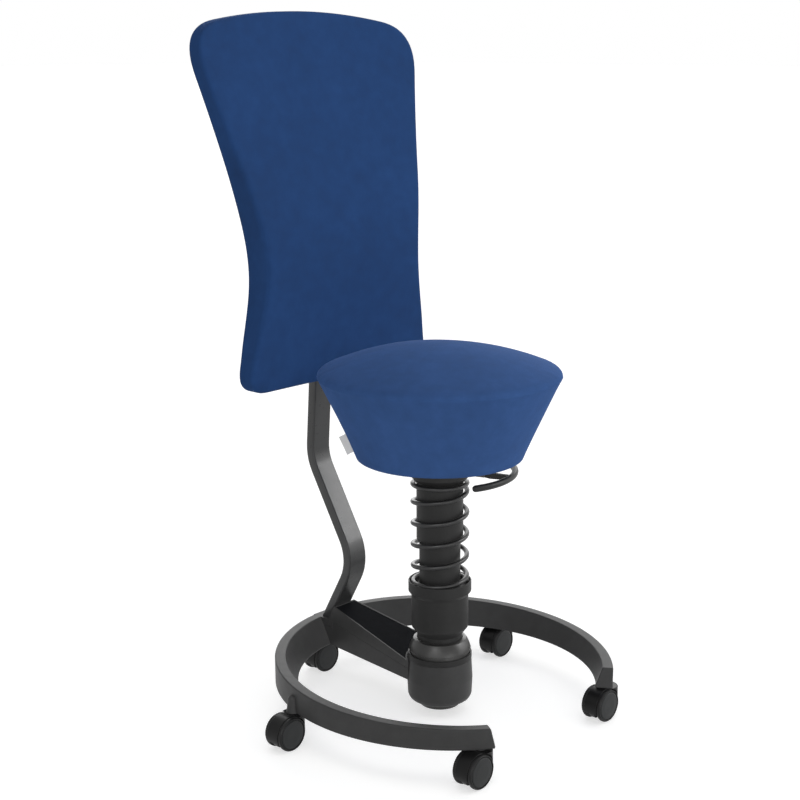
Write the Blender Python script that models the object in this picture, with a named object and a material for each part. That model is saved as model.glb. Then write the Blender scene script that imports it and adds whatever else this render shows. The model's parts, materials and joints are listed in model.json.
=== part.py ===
"""Spring balance stool: open ring base on castors, sprung column, round seat and a fixed backrest.

Metres, +Z up, the stool's front towards -Y. Pieces are laid out about the column axis.
An azimuth is in degrees from the front, positive towards +X.
"""
import math

import bmesh
import bpy
from mathutils import Matrix, Vector

for old in list(bpy.data.objects):
    bpy.data.objects.remove(old, do_unlink=True)

# Place of the column axis in the frame, whose origin is under the middle of the whole stool.
COLUMN_X = 0.0115
COLUMN_Y = -0.0388

# Gaps
FIT = 0.0003            # between two fixed pieces that touch
RUN = 0.0004            # between a turning or sliding piece and what guides it
MERGE = 0.00001         # vertices closer than this become one

# Castors
CASTOR_COUNT = 5
CASTOR_OUT_X = 0.0012   # half width of the oval through the stems, past the ring's
CASTOR_IN_Y = 0.0116    # its half length, inside the ring's
CASTOR_BACK_Y = 0.003   # its centre behind the ring's
WHEEL_RADIUS = 0.025
WHEEL_WIDTH = 0.0125
WHEEL_BEVEL = 0.0014    # step from the tread to the raised lip
WHEEL_LIP = 0.0012      # width of the raised lip
WHEEL_GROOVE = 0.0014   # depth and width of the groove round the disc
WHEEL_COVERED = 0.0070  # inner part of the wheel, under the hood
WHEEL_NECK = 0.0045     # how much smaller its radius is there
WHEEL_SIDES = 20
WEB_WIDTH = 0.0082      # plate of the hood between the wheels
WEB_FLOOR = 0.007       # lowest point of the plate
TRAIL = 0.0155          # axle behind the stem
AXLE_RADIUS = 0.003
AXLE_DEPTH = 0.008      # how far the axle reaches into a wheel
STEM_RADIUS = 0.005
STEM_TOP_Z = 0.0660
STEM_FOOT_Z = 0.0385
SPIGOT_RADIUS = 0.0035  # lower end of the stem, inside the hood
HOOD_RADIUS = 0.0175
HOOD_FOOT_Z = 0.020
HOOD_GAP = 0.0012       # dark gap between the hood and the boss above it
HOOD_PROUD = 0.0006     # barrel of the hood past the tread
HOOD_FRONT_ANGLE = 25.0 # barrel from this angle over the top
HOOD_REAR_ANGLE = 203.0 # to this one, low behind the wheels
HOOD_STEPS = 8

# Base ring: an ellipse in plan, open at the front
RING_HALF_X = 0.2502
RING_HALF_Y = 0.263
RING_CENTRE_Y = -0.007
RING_TOP_Z = 0.0879     # height of the top beside the column
RING_TOP_SLOPE = 0.0259
RING_OVER_WHEEL = 0.0016
RING_TOP_WIDTH = 0.016
RING_FOOT_WIDTH = 0.026
RING_REAR_WIDENING = 0.012
RING_EDGE = 0.0012
RING_END_AZ = 33.0
RING_END_LEAN = 1.6     # degrees that the lower edge of an end runs further
RING_STATIONS = 38
BOSS_RADIUS = 0.0085
BOSS_DROP = 0.0008      # boss below the ring's underside
BOSS_SHOULDER_Z = 0.0725
BOSS_SHOULDER_RADIUS = 0.0062
BOSS_TIP_Z = 0.0768
BOSS_TIP_RADIUS = 0.0040

# Hub
PIVOT_Z = 0.0895        # centre of the tilting column's ball
POT_TOP_Z = 0.0850
POT_TOP_RADIUS = 0.0484
POT_BELT_Z = 0.054
POT_RADIUS = 0.0502
POT_LOW_Z = 0.0275
POT_LOW_RADIUS = 0.0490
POT_FOOT_Z = 0.0180
POT_FOOT_RADIUS = 0.0380
POT_CORNER = 0.0032
POT_BORE = 0.040
POT_FLOOR_Z = 0.030
CAP_RADIUS = 0.0368
CAP_FOOT_RADIUS = 0.0300
CAP_FOOT_Z = 0.0095
NUB_COUNT = 3
NUB_CIRCLE = 0.0225
NUB_AZ = -27.0
NUB_RADIUS = 0.0022
NUB_FOOT_Z = 0.0070
COLLAR_RADIUS = 0.0488
COLLAR_TOP_Z = 0.0940
COLLAR_FLANGE = 0.0015  # flat foot of the collar on the pot
BALL_RADIUS = 0.010
SOCKET_STEPS = (0.6, 0.9)       # points of a socket, as shares of its depth
POST_RADIUS = 0.013
POST_TOP_Z = 0.0865
BUFFER_FOOT_Z = 0.045
BUFFER_BELOW_TOP = 0.001
DOME_RADIUS = 0.0485
DOME_WALL = 0.0013
DOME_EDGE_Z = 0.0922
DOME_GROOVE_Z = 0.0990  # below this the dome steps in and runs inside the collar
DOME_GROOVE = 0.0028    # depth of that step
DOME_TOP_Z = 0.1195
DOME_SHOULDER = 0.0015  # rounding of the dome's top edge

# Column
STUD_RADIUS = 0.016
STUD_FOOT_Z = 0.0925
STUD_FLANGE_RADIUS = 0.026
STUD_FLANGE = 0.0045
NECK_RADIUS = 0.0345
NECK_FOOT_Z = 0.112
NECK_TOP_Z = 0.1246
CUP_RADIUS = 0.0432
CUP_FOOT_Z = 0.1362
CUP_LIP_Z = 0.193       # underside of the lip
CUP_TOP_Z = 0.209
CUP_LIP_WALL = 0.0021
CUP_FLARE = 0.006
CUP_DEPTH = 0.0065      # lip above the spring's seat
CUP_SOLID = 0.018       # solid foot of the cup below the lower tube
LOWER_TUBE_RADIUS = 0.0311
TUBE_WALL = 0.0021
LOWER_TUBE_TOP_Z = 0.318
UPPER_TUBE_RADIUS = 0.0352
UPPER_TUBE_FOOT_Z = 0.2739
UPPER_TUBE_TOP_Z = 0.378
UPPER_TUBE_CHAMFER = 0.0012
BUSH_FOOT_Z = 0.280
BUSH_LENGTH = 0.022
CONE_FOOT_Z = 0.363
CONE_RIM_Z = 0.3725
CONE_RADIUS = 0.044
CONE_TOP_Z = 0.3878
CONE_EDGE = 0.002

# Coil spring
WIRE_RADIUS = 0.00365
COIL_RADIUS = 0.0407
COIL_PITCH = 0.0333
COIL_MARK_AZ = -138.2   # the free coils pass this azimuth at COIL_MARK_Z
COIL_MARK_Z = 0.2326
COIL_TOP_Z = 0.3614     # wire centre of the level top turn
COIL_START_AZ = -678.0
COIL_END_AZ = 1490.0
COIL_POINTS = 10        # points in a turn
COIL_EASE = 0.004       # how softly the level turns leave the free coils

# Gas lift
GAS_RADIUS = 0.014
GAS_FOOT_Z = 0.225
GAS_TOP_Z = 0.3995
GAS_BORE_TOP_Z = 0.370
LIFT_TUBE_WALL = 0.002
LIFT_TUBE_GAP = 0.0022
LIFT_TUBE_FOOT_Z = 0.215
LIFT_TUBE_FLOOR = 0.003
ROD_RADIUS = 0.004
ROD_TOP_Z = 0.345
BUTTON_RADIUS = 0.004
BUTTON_LENGTH = 0.0095
BUTTON_PROUD = 0.0045
BUTTON_BORE = 0.0095    # depth of the hole that the button sinks into

# Seat
SEAT_BOTTOM_Z = 0.401
SEAT_BOTTOM_RADIUS = 0.1235
SEAT_RIM_Z = 0.5264
SEAT_RIM_RADIUS = 0.181
SEAT_RIM_ROUND = 0.007
SEAT_CROWN_Z = 0.571
SEAT_BOTTOM_ROUND = 0.006
SEAT_CORNER = 0.3       # how far in the rounded lower corner stands, as a share of its rounding
SEAT_RIM_IN = 0.6       # middle of the rounded rim, as shares of its rounding
SEAT_RIM_UP = 0.8
SEAT_CROWN_INSET = 0.96
SEAT_CROWN_GATHER = 1.3 # above 1 the crown's loops gather towards the rim
SEAT_WAIST = 0.0012     # how far the sides are drawn in
SEAT_SEGMENTS = 40
PLATE_RADIUS = 0.088
PLATE_THICK = 0.0037
HAT_RADIUS = 0.063
HAT_WALL = 0.003
HAT_HEIGHT = 0.0213
HUB_RADIUS = 0.021
HUB_GAP = 0.0008        # seat hub above the upper spring cup
TAG_AZ = -126.0
TAG_LENGTH = 0.028
TAG_WIDTH = 0.0105
TAG_THICK = 0.0012
TAG_FOOT_UP = 0.0145    # tag's lower end above the seat's lower edge

# Release lever
LEVER_AZ = 20.0
LEVER_SPREAD = 41.0     # half of the grip's arc
GRIP_CIRCLE = 0.112
GRIP_RADIUS = 0.005
GRIP_Z = 0.380
GRIP_STATIONS = 22
GRIP_TIP_RADIUS = 0.003
GRIP_TIP = 0.0025       # length of the rounded end
GRIP_ROOT_HALF = 0.0035 # half height of the arm inside the grip
PIN_CIRCLE = 0.066
PIN_Z = 0.382
PIN_RADIUS = 0.002
ARM_HALF_WIDTH = 0.003
ARM_HALF_HEIGHT = 0.0042
TIP_HALF_HEIGHT = 0.002
TIP_GAP = 0.0005
TIP_REACH = 0.004       # lever's tip past the column axis
ARM_RISE_START = 0.057
ARM_RISE_MIDDLE = 0.048
ARM_RISE_END = 0.034
EAR_THICK = 0.002
EAR_LENGTH = 0.014
EAR_BELOW_PIN = 0.0045

# Arm and backrest foot
ARM_REAR_HALF = 0.0225
ARM_FLARE = 0.113       # widening towards the hub
ARM_FLARE_GAP = 0.001   # the widening ends this far in front of the step
ARM_FRONT_Y = 0.012
ARM_REAR_IN = 0.011     # arm's rear end inside the ring's
CREASE_Z = 0.0670       # joint between arm and foot, carried to the column axis
CREASE_SLOPE = 0.1155
STEP_GAP = 0.006        # step in front of the ring's inner foot
NOTCH_Z = 0.0825
FOOT_TOP_Z = 0.0767     # foot's top, carried to the column axis
FOOT_TOP_SLOPE = 0.205
HEEL_TOP_Z = 0.0944
HEEL_REAR_IN = 0.0005   # heel's rear end inside the ring's
INLAY_LIP = 0.0022
INLAY_DEPTH = 0.0024
INLAY_THICK = 0.0014

# Backrest bar
BAR_WIDTH = 0.0375
BAR_THICK = 0.0165
BAR_ROUND = 0.0032
BAR_KNEE_IN = 0.084     # knee in front of the ring's rear
BAR_KNEE_Z = 0.2006
BAR_FOOT_SLOPE = 0.56   # run to the rear per height below the knee
BAR_BEND_OUT = 0.01175  # bend behind the upright stretch
BAR_BEND_Z = 0.3566
BAR_SET_Z = 0.518       # upright from here, against the shell
BAR_TOP_Z = 0.600
BAR_KNEE_RADIUS = 0.0675
BAR_BEND_RADIUS = 0.070
BAR_ARC_STEP = 7.5      # degrees between points of a bend

# Backrest panel
PANEL_BACK_Y = 0.233    # back of the cushion at its side edges
PANEL_DISH = 0.005      # the middle is this much further back
PANEL_DISH_HALF = 0.19
PANEL_LEAN_Z = 0.72
PANEL_LEAN_BLEND = 0.10
PANEL_LEAN = 0.17
PANEL_CURL_Z = 0.85     # above this the panel curls further back
PANEL_CURL = 0.0088     # curl at this height above that
PANEL_CURL_SPAN = 0.20
PANEL_THICK = 0.0255
PANEL_LUMBAR = 0.024
PANEL_LUMBAR_Z = 0.70
PANEL_LUMBAR_SPAN = 0.17
PANEL_TOP_Z = 1.047
PANEL_ARCH = 0.020      # fall of the top edge at this distance from the middle
PANEL_ARCH_SPAN = 0.20
PANEL_FOOT_Z = 0.4925   # heights and half widths of the outline, from the lower corner up
PANEL_FOOT_HALF = 0.1935
PANEL_HIP_Z = 0.558
PANEL_HIP_HALF = 0.1805
PANEL_WAIST_Z = 0.672
PANEL_WAIST_HALF = 0.1620
PANEL_CHEST_Z = 0.800
PANEL_CHEST_HALF = 0.1810
PANEL_SHOULDER_DROP = 0.025          # upper corner below the top's middle
PANEL_SHOULDER_HALF = 0.2345
PANEL_FOOT_ROUND = 0.040
PANEL_SHOULDER_ROUND = 0.070
PANEL_MIDDLE_Z = 0.74
PANEL_SIDE_STEPS = 4    # outline points between two of the heights above
PANEL_CORNER_STEPS = 6
PANEL_LEVEL_STEPS = 4   # outline points along half of the bottom and of the top
PANEL_CROWN = 0.002
PANEL_EDGE = 0.0025     # rounding of the cushion's back edge
PANEL_RIDGE = 0.006     # rounding of the cushion's front edge
PANEL_WAISTING = 0.001  # how far its sides are drawn in
PANEL_SIDE_BACK = 0.1   # the side face runs between these shares of the thickness
PANEL_SIDE_FRONT = 0.88
PANEL_BACK_SHARES = (1.0 / 3.0, 2.0 / 3.0)      # loops on the back face, from the middle outwards
PANEL_FRONT_SHARES = (0.75, 0.48, 0.22)         # loops on the front face, from the edge inwards
SHELL_INSET = 0.008
SHELL_THICK = 0.0044
SHELL_EDGE = 0.0014

# Derived places
AXLE_Z = WHEEL_RADIUS
RING_BOTTOM_Z = 2.0 * WHEEL_RADIUS + RING_OVER_WHEEL
BOSS_FOOT_Z = RING_BOTTOM_Z - BOSS_DROP
HOOD_TOP_Z = BOSS_FOOT_Z - HOOD_GAP
CASTOR_STEP = 360.0 / CASTOR_COUNT
CASTOR_HALF_X = RING_HALF_X + CASTOR_OUT_X
CASTOR_HALF_Y = RING_HALF_Y - CASTOR_IN_Y
CASTOR_CENTRE_Y = RING_CENTRE_Y + CASTOR_BACK_Y
RING_REAR_Y = RING_CENTRE_Y + RING_HALF_Y
STEP_Y = RING_REAR_Y - RING_FOOT_WIDTH - RING_REAR_WIDENING - STEP_GAP
ARM_FLARE_Y = STEP_Y - ARM_FLARE_GAP
ARM_REAR_Y = RING_REAR_Y - ARM_REAR_IN
HEEL_REAR_Y = RING_REAR_Y - HEEL_REAR_IN
SPRING_SEAT_Z = CUP_TOP_Z - CUP_DEPTH
COIL_BOTTOM_Z = SPRING_SEAT_Z + WIRE_RADIUS + FIT
COIL_CORNER = 2.0 * COIL_RADIUS / (1.0 + math.cos(math.pi / COIL_POINTS))
CUP_INSIDE = COIL_CORNER + WIRE_RADIUS + RUN
TUBE_FLOOR_Z = NECK_FOOT_Z + CUP_SOLID
PLATE_TOP_Z = SEAT_BOTTOM_Z - FIT
PLATE_FOOT_Z = PLATE_TOP_Z - PLATE_THICK
HAT_TOP_Z = PLATE_TOP_Z + HAT_HEIGHT
BUTTON_TOP_Z = GAS_TOP_Z + BUTTON_PROUD
TIP_Z = BUTTON_TOP_Z + TIP_GAP + TIP_HALF_HEIGHT
BAR_TOP_Y = PANEL_BACK_Y + PANEL_DISH + FIT + SHELL_THICK + FIT + BAR_THICK / 2.0
BAR_BEND_Y = BAR_TOP_Y + BAR_BEND_OUT
BAR_KNEE_Y = RING_REAR_Y - BAR_KNEE_IN
SHARP = math.radians(32.0)

# Sides of round pieces
POT_SIDES = 32
TUBE_SIDES = 28
ROD_SIDES = 24
BALL_SIDES = 16
PIN_SIDES = 12
BOSS_SIDES = 18


def polar(radius, azimuth, z):
    """Point at a radius and azimuth from the column axis."""
    a = math.radians(azimuth)
    return Vector((radius * math.sin(a), -radius * math.cos(a), z))


def make_material(name, colour, metallic, roughness):
    material = bpy.data.materials.new(name)
    material.use_nodes = True
    shader = material.node_tree.nodes["Principled BSDF"]
    shader.inputs["Base Color"].default_value = (*colour, 1.0)
    shader.inputs["Metallic"].default_value = metallic
    shader.inputs["Roughness"].default_value = roughness
    material.diffuse_color = (*colour, 1.0)
    return material


COATED = ((0.045, 0.045, 0.045), 0.0, 0.45)
BLACK_PLASTIC = ((0.022, 0.022, 0.022), 0.0, 0.5)
GREY_PLASTIC = ((0.07, 0.072, 0.075), 0.0, 0.45)
BLACK_RUBBER = ((0.012, 0.012, 0.013), 0.0, 0.75)
STEEL = ((0.35, 0.35, 0.36), 1.0, 0.35)
BLUE_CLOTH = ((0.02, 0.058, 0.19), 0.0, 0.9)
PALE_CLOTH = ((0.6, 0.6, 0.6), 0.0, 0.85)


def add_empty(name, place, parent=None):
    """Empty at a place given from the column axis."""
    empty = bpy.data.objects.new(name, None)
    bpy.context.scene.collection.objects.link(empty)
    empty.parent = parent
    empty.location = place
    return empty


ROOT = add_empty("stool", (COLUMN_X, COLUMN_Y, 0.0))
TILT = add_empty("column_pivot", (0.0, 0.0, PIVOT_Z), ROOT)
TILT_PLACE = Vector((0.0, 0.0, PIVOT_Z))
NOWHERE = Vector((0.0, 0.0, 0.0))


def add_mesh(name, mesh, look, origin=NOWHERE, parent=ROOT):
    """Object with its own material; the mesh is given about the column axis."""
    if origin != NOWHERE:
        mesh.transform(Matrix.Translation(-origin))
    obj = bpy.data.objects.new(name, mesh)
    bpy.context.scene.collection.objects.link(obj)
    obj.parent = parent
    obj.location = origin - (TILT_PLACE if parent is TILT else NOWHERE)
    if look is not None:
        mesh.materials.append(make_material(name, *look))
    mesh.shade_smooth()
    mesh.set_sharp_from_angle(angle=SHARP)
    return obj


def add_cutter(name, mesh, parent=ROOT):
    """Hidden shape that a Boolean modifier uses."""
    obj = add_mesh(name, mesh, None, NOWHERE, parent)
    obj.hide_render = True
    obj.display_type = "WIRE"
    return obj


def combine(target, other, operation):
    modifier = target.modifiers.new(operation.lower(), "BOOLEAN")
    modifier.operation = operation
    modifier.solver = "EXACT"
    modifier.object = other


def finish_mesh(bm, name):
    bmesh.ops.remove_doubles(bm, verts=bm.verts, dist=MERGE)
    bmesh.ops.recalc_face_normals(bm, faces=bm.faces)
    mesh = bpy.data.meshes.new(name)
    bm.to_mesh(mesh)
    bm.free()
    return mesh


def turned(name, profile, segments, hollow=False, half_step=False):
    """Body turned about Z from (radius, height) points, from axis to axis or as a closed loop."""
    bm = bmesh.new()
    verts = [bm.verts.new((r, 0.0, z)) for r, z in profile]
    edges = [bm.edges.new(pair) for pair in zip(verts, verts[1:])]
    if hollow:
        edges.append(bm.edges.new((verts[-1], verts[0])))
    if half_step:
        turn = Matrix.Rotation(math.pi / segments, 4, "Z")
        bmesh.ops.transform(bm, matrix=turn, verts=verts)
    bmesh.ops.spin(bm, geom=verts + edges, cent=(0, 0, 0), axis=(0, 0, 1), angle=2.0 * math.pi,
                   steps=segments, use_merge=True)
    return finish_mesh(bm, name)


def lofted(name, loops):
    """Body through closed loops with equal numbers of points, capped at both ends."""
    bm = bmesh.new()
    rings = [[bm.verts.new(p) for p in loop] for loop in loops]
    for a, b in zip(rings, rings[1:]):
        for i in range(len(a)):
            bm.faces.new((a[i - 1], a[i], b[i], b[i - 1]))
    bm.faces.new(rings[0])
    bm.faces.new(rings[-1])
    return finish_mesh(bm, name)


def joined(name, meshes):
    """Several separate closed shapes in one mesh, for a cutter."""
    bm = bmesh.new()
    for mesh in meshes:
        bm.from_mesh(mesh)
    return finish_mesh(bm, name)


def cylinder(name, radius, low, high, segments):
    return turned(name, [(0.0, low), (radius, low), (radius, high), (0.0, high)], segments)


def moved(mesh, *matrices):
    for matrix in matrices:
        mesh.transform(matrix)
    return mesh


def round_out(radius, segments):
    """Corner radius of a regular polygon whose flats stand at the given radius."""
    return radius / math.cos(math.pi / segments)


# Castors
WHEEL_FACE = WEB_WIDTH / 2.0 + RUN
LIE_DOWN = Matrix.Rotation(-math.pi / 2.0, 4, "X")


def wheel_mesh(side):
    """Wheel about the Y axis through its own origin; its outer face points along side."""
    r = round_out(WHEEL_RADIUS, WHEEL_SIDES)
    bore = round_out(AXLE_RADIUS + RUN, WHEEL_SIDES)
    neck = round_out(WHEEL_RADIUS - WHEEL_NECK, WHEEL_SIDES)
    lip = r - WHEEL_BEVEL - WHEEL_LIP
    disc = lip - WHEEL_GROOVE
    profile = [
        (0.0, AXLE_DEPTH + RUN), (bore, AXLE_DEPTH + RUN), (bore, 0.0),
        (neck, 0.0), (neck, WHEEL_COVERED), (r, WHEEL_COVERED), (r, WHEEL_WIDTH - WHEEL_BEVEL),
        (r - WHEEL_BEVEL, WHEEL_WIDTH), (lip, WHEEL_WIDTH),
        (lip - WHEEL_GROOVE / 2.0, WHEEL_WIDTH - WHEEL_GROOVE),
        (disc, WHEEL_WIDTH - WHEEL_GROOVE / 2.0), (0.0, WHEEL_WIDTH),
    ]
    mesh = turned("wheel", profile, WHEEL_SIDES, half_step=True)
    mesh.transform(Matrix.Translation((0.0, 0.0, WHEEL_FACE)))
    mesh.transform(LIE_DOWN)
    if side < 0:
        mesh.transform(Matrix.Rotation(math.pi, 4, "Z"))
    return mesh


def arc(radius, start, end, steps):
    """Points (x, z) of an arc about the axle, seen from the stem."""
    points = []
    for i in range(steps + 1):
        a = math.radians(start + (end - start) * i / steps)
        points.append((radius * math.cos(a) - TRAIL, radius * math.sin(a) + AXLE_Z))
    return points


def extruded(name, outline, half):
    """Outline in the XZ plane, as thick as twice the half."""
    return lofted(name, [[(x, y, z) for x, z in outline] for y in (-half, half)])


def hood_mesh():
    """Hood about its stem: round boss, plate between the wheels, and a barrel over their inner parts."""
    axle = Matrix.Translation((-TRAIL, 0.0, AXLE_Z))
    arch = round_out(WHEEL_RADIUS, WHEEL_SIDES) + RUN + RUN
    barrel_in = round_out(WHEEL_RADIUS - WHEEL_NECK, WHEEL_SIDES) + RUN + RUN
    barrel_out = WHEEL_RADIUS + HOOD_PROUD
    barrel_half = WHEEL_FACE + WHEEL_COVERED - RUN
    boss = add_mesh("hood_boss", cylinder("boss", HOOD_RADIUS, HOOD_FOOT_Z, HOOD_TOP_Z, BOSS_SIDES), None)
    sides = []
    cut_end = HOOD_RADIUS + WEB_WIDTH
    arch_profile = [(0.0, WHEEL_FACE), (barrel_in, WHEEL_FACE), (barrel_in, barrel_half), (arch, barrel_half),
                    (arch, cut_end), (0.0, cut_end)]
    for sign in (-1.0, 1.0):
        cut = turned("arch", arch_profile, ROD_SIDES)
        sides.append(moved(cut, Matrix.Scale(sign, 4, (0, 0, 1)), LIE_DOWN, axle))
    arches = add_cutter("hood_arches", joined("arches", sides))
    combine(boss, arches, "DIFFERENCE")
    rim = (barrel_in + barrel_out) / 2.0
    cut_angle = math.degrees(math.acos((AXLE_Z - WEB_FLOOR) / rim))
    web = extruded("web", arc(rim, 270.0 - cut_angle, cut_angle - 90.0, HOOD_STEPS), WEB_WIDTH / 2.0)
    web_part = add_cutter("hood_web", web)
    combine(boss, web_part, "UNION")
    barrel_line = arc(barrel_out, HOOD_REAR_ANGLE, HOOD_FRONT_ANGLE, HOOD_STEPS)
    barrel_line += arc(barrel_in, HOOD_FRONT_ANGLE, HOOD_REAR_ANGLE, HOOD_STEPS)
    barrel = add_cutter("hood_barrel", extruded("barrel", barrel_line, barrel_half))
    combine(boss, barrel, "UNION")
    stem_hole = cylinder("stem_hole", SPIGOT_RADIUS + RUN, STEM_FOOT_Z - RUN, RING_TOP_Z, PIN_SIDES)
    axle_hole = cylinder("axle_hole", AXLE_RADIUS + FIT, -WEB_WIDTH, WEB_WIDTH, PIN_SIDES)
    moved(axle_hole, LIE_DOWN, axle)
    holes = add_cutter("hood_holes", joined("holes", [stem_hole, axle_hole]))
    combine(boss, holes, "DIFFERENCE")
    bpy.context.view_layer.update()
    graph = bpy.context.evaluated_depsgraph_get()
    mesh = bpy.data.meshes.new_from_object(boss.evaluated_get(graph))
    for obj in (boss, arches, web_part, barrel, holes):
        bpy.data.objects.remove(obj, do_unlink=True)
    return mesh


def stem_point(azimuth):
    """Foot of a castor's stem axis on the floor."""
    a = math.radians(azimuth)
    return Vector((CASTOR_HALF_X * math.sin(a), CASTOR_CENTRE_Y - CASTOR_HALF_Y * math.cos(a), 0.0))


def place_mesh(name, mesh, look, place):
    """Object whose mesh is already about its own joint."""
    obj = add_mesh(name, mesh, look)
    obj.location = place
    return obj


hood_shape = hood_mesh()
stem_shoulder = HOOD_TOP_Z + RUN
stem_profile = [(0.0, STEM_FOOT_Z), (SPIGOT_RADIUS, STEM_FOOT_Z), (SPIGOT_RADIUS, stem_shoulder),
                (STEM_RADIUS, stem_shoulder), (STEM_RADIUS, STEM_TOP_Z), (0.0, STEM_TOP_Z)]
castor_azimuths = [CASTOR_STEP / 2.0 + CASTOR_STEP * i for i in range(CASTOR_COUNT)]
for index, azimuth in enumerate(castor_azimuths, start=1):
    stem_place = stem_point(azimuth)
    axle_place = stem_place + Vector((-TRAIL, 0.0, AXLE_Z))
    stem = turned("stem", stem_profile, PIN_SIDES)
    place_mesh(f"castor_stem_{index}", stem, STEEL, stem_place)
    place_mesh(f"castor_hood_{index}", hood_shape.copy(), BLACK_PLASTIC, stem_place)
    reach = WHEEL_FACE + AXLE_DEPTH
    axle = moved(cylinder("axle", AXLE_RADIUS, -reach, reach, PIN_SIDES), LIE_DOWN)
    place_mesh(f"castor_axle_{index}", axle, STEEL, axle_place)
    place_mesh(f"castor_wheel_{index}_front", wheel_mesh(-1), BLACK_RUBBER, axle_place)
    place_mesh(f"castor_wheel_{index}_rear", wheel_mesh(1), BLACK_RUBBER, axle_place)


# Base ring
def ring_radius(azimuth):
    """Outer edge of the ring, an ellipse whose centre is a little in front of the column."""
    s = math.sin(math.radians(azimuth)) / RING_HALF_X
    c = math.cos(math.radians(azimuth)) / RING_HALF_Y
    shift = RING_CENTRE_Y / RING_HALF_Y
    a = s * s + c * c
    b = c * shift
    return (-b + math.sqrt(b * b - a * (shift * shift - 1.0))) / a


def ring_loop(azimuth, lean, grow):
    """Section of the ring: upright outside, sloping top, slanted inside."""
    low_azimuth = azimuth + lean
    out = ring_radius(azimuth) + grow
    low = ring_radius(low_azimuth) + grow
    rear = (1.0 - math.cos(math.radians(azimuth))) / 2.0
    foot = RING_FOOT_WIDTH + RING_REAR_WIDENING * rear + 2.0 * grow
    inner = out - RING_TOP_WIDTH - 2.0 * grow
    top = RING_TOP_Z - RING_TOP_SLOPE * out * math.cos(math.radians(azimuth)) + grow
    bottom = RING_BOTTOM_Z - grow
    return [
        polar(low, low_azimuth, bottom),
        polar(out, azimuth, top - RING_EDGE), polar(out - RING_EDGE, azimuth, top),
        polar(inner + RING_EDGE, azimuth, top), polar(inner, azimuth, top - RING_EDGE),
        polar(low - foot, low_azimuth, bottom),
    ]


def ring_mesh(name, grow):
    loops = []
    for i in range(RING_STATIONS + 1):
        azimuth = RING_END_AZ + (360.0 - 2.0 * RING_END_AZ) * i / RING_STATIONS
        lean = 0.0
        if i == 0:
            lean = -RING_END_LEAN
        elif i == RING_STATIONS:
            lean = RING_END_LEAN
        loops.append(ring_loop(azimuth, lean, grow))
    return lofted(name, loops)


def stem_boss():
    profile = [(0.0, BOSS_FOOT_Z), (BOSS_RADIUS, BOSS_FOOT_Z), (BOSS_SHOULDER_RADIUS, BOSS_SHOULDER_Z),
               (BOSS_TIP_RADIUS, BOSS_TIP_Z), (0.0, BOSS_TIP_Z)]
    return turned("boss", profile, BOSS_SIDES)


def at_stems(make):
    """One copy of a shape at every castor stem."""
    return [moved(make(), Matrix.Translation(stem_point(a))) for a in castor_azimuths]


def stem_bore():
    return cylinder("bore", STEM_RADIUS + FIT, BOSS_FOOT_Z - STEM_RADIUS, STEM_TOP_Z + FIT, PIN_SIDES)


def box(name, low, high):
    loops = []
    for z in (low[2], high[2]):
        loops.append([(low[0], low[1], z), (high[0], low[1], z), (high[0], high[1], z), (low[0], high[1], z)])
    return lofted(name, loops)


ring = add_mesh("base_ring", ring_mesh("base_ring", 0.0), COATED)
notch_half = ARM_REAR_HALF + FIT
notch = box("ring_notch", (-notch_half, STEP_Y, NOTCH_Z), (notch_half, RING_HALF_Y + BAR_WIDTH, RING_HALF_Y))
combine(ring, add_cutter("ring_notch", notch), "DIFFERENCE")
combine(ring, add_cutter("ring_bosses", joined("bosses", at_stems(stem_boss))), "UNION")
combine(ring, add_cutter("ring_bores", joined("bores", at_stems(stem_bore))), "DIFFERENCE")


# Arm from the ring to the hub, and the backrest's foot on it
def arm_half(y):
    """Half width of the arm and of the foot."""
    return ARM_REAR_HALF + ARM_FLARE * max(0.0, ARM_FLARE_Y - y)


def crease(y):
    return CREASE_Z + CREASE_SLOPE * y


def slab_loop(y, low, high, half):
    return [(-half, y, low), (half, y, low), (half, y, high), (-half, y, high)]


hub_room = cylinder("hub_clearance", POT_RADIUS + FIT, 0.0, RING_HALF_Y, POT_SIDES)
hub_clear = add_cutter("hub_clearance", hub_room)
ring_clear = add_cutter("ring_clearance", ring_mesh("ring_clearance", FIT))
arm_loops = [
    slab_loop(ARM_FRONT_Y, RING_BOTTOM_Z, crease(ARM_FRONT_Y), arm_half(ARM_FRONT_Y)),
    slab_loop(ARM_FLARE_Y, RING_BOTTOM_Z, crease(ARM_FLARE_Y), arm_half(ARM_FLARE_Y)),
    slab_loop(STEP_Y, RING_BOTTOM_Z, crease(STEP_Y), arm_half(STEP_Y)),
    slab_loop(STEP_Y + FIT, RING_BOTTOM_Z, NOTCH_Z, arm_half(STEP_Y)),
    slab_loop(ARM_REAR_Y, RING_BOTTOM_Z, NOTCH_Z, arm_half(ARM_REAR_Y)),
]
arm = add_mesh("base_arm", lofted("base_arm", arm_loops), COATED)
combine(arm, hub_clear, "DIFFERENCE")
combine(arm, ring_clear, "DIFFERENCE")

BAR_FALL = math.hypot(1.0, BAR_FOOT_SLOPE)


def bar_front(z):
    """Front face of the bar's lower stretch."""
    middle = BAR_KNEE_Y + BAR_FOOT_SLOPE * (BAR_KNEE_Z - z)
    return middle - BAR_FALL * BAR_THICK / 2.0


def foot_top(y):
    return FOOT_TOP_Z + FOOT_TOP_SLOPE * y


# Where the foot's top plane meets the bar's front face
ridge_reach = bar_front(FOOT_TOP_Z) - FIT * BAR_FALL
ridge_y = ridge_reach / (1.0 + BAR_FOOT_SLOPE * FOOT_TOP_SLOPE)
heel_y = bar_front(HEEL_TOP_Z) - FIT * BAR_FALL
step_y = STEP_Y + FIT


def foot_rear(y):
    """Slanted rear face of the foot, along the bar."""
    return foot_top(ridge_y) - (y - ridge_y) / BAR_FOOT_SLOPE


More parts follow.
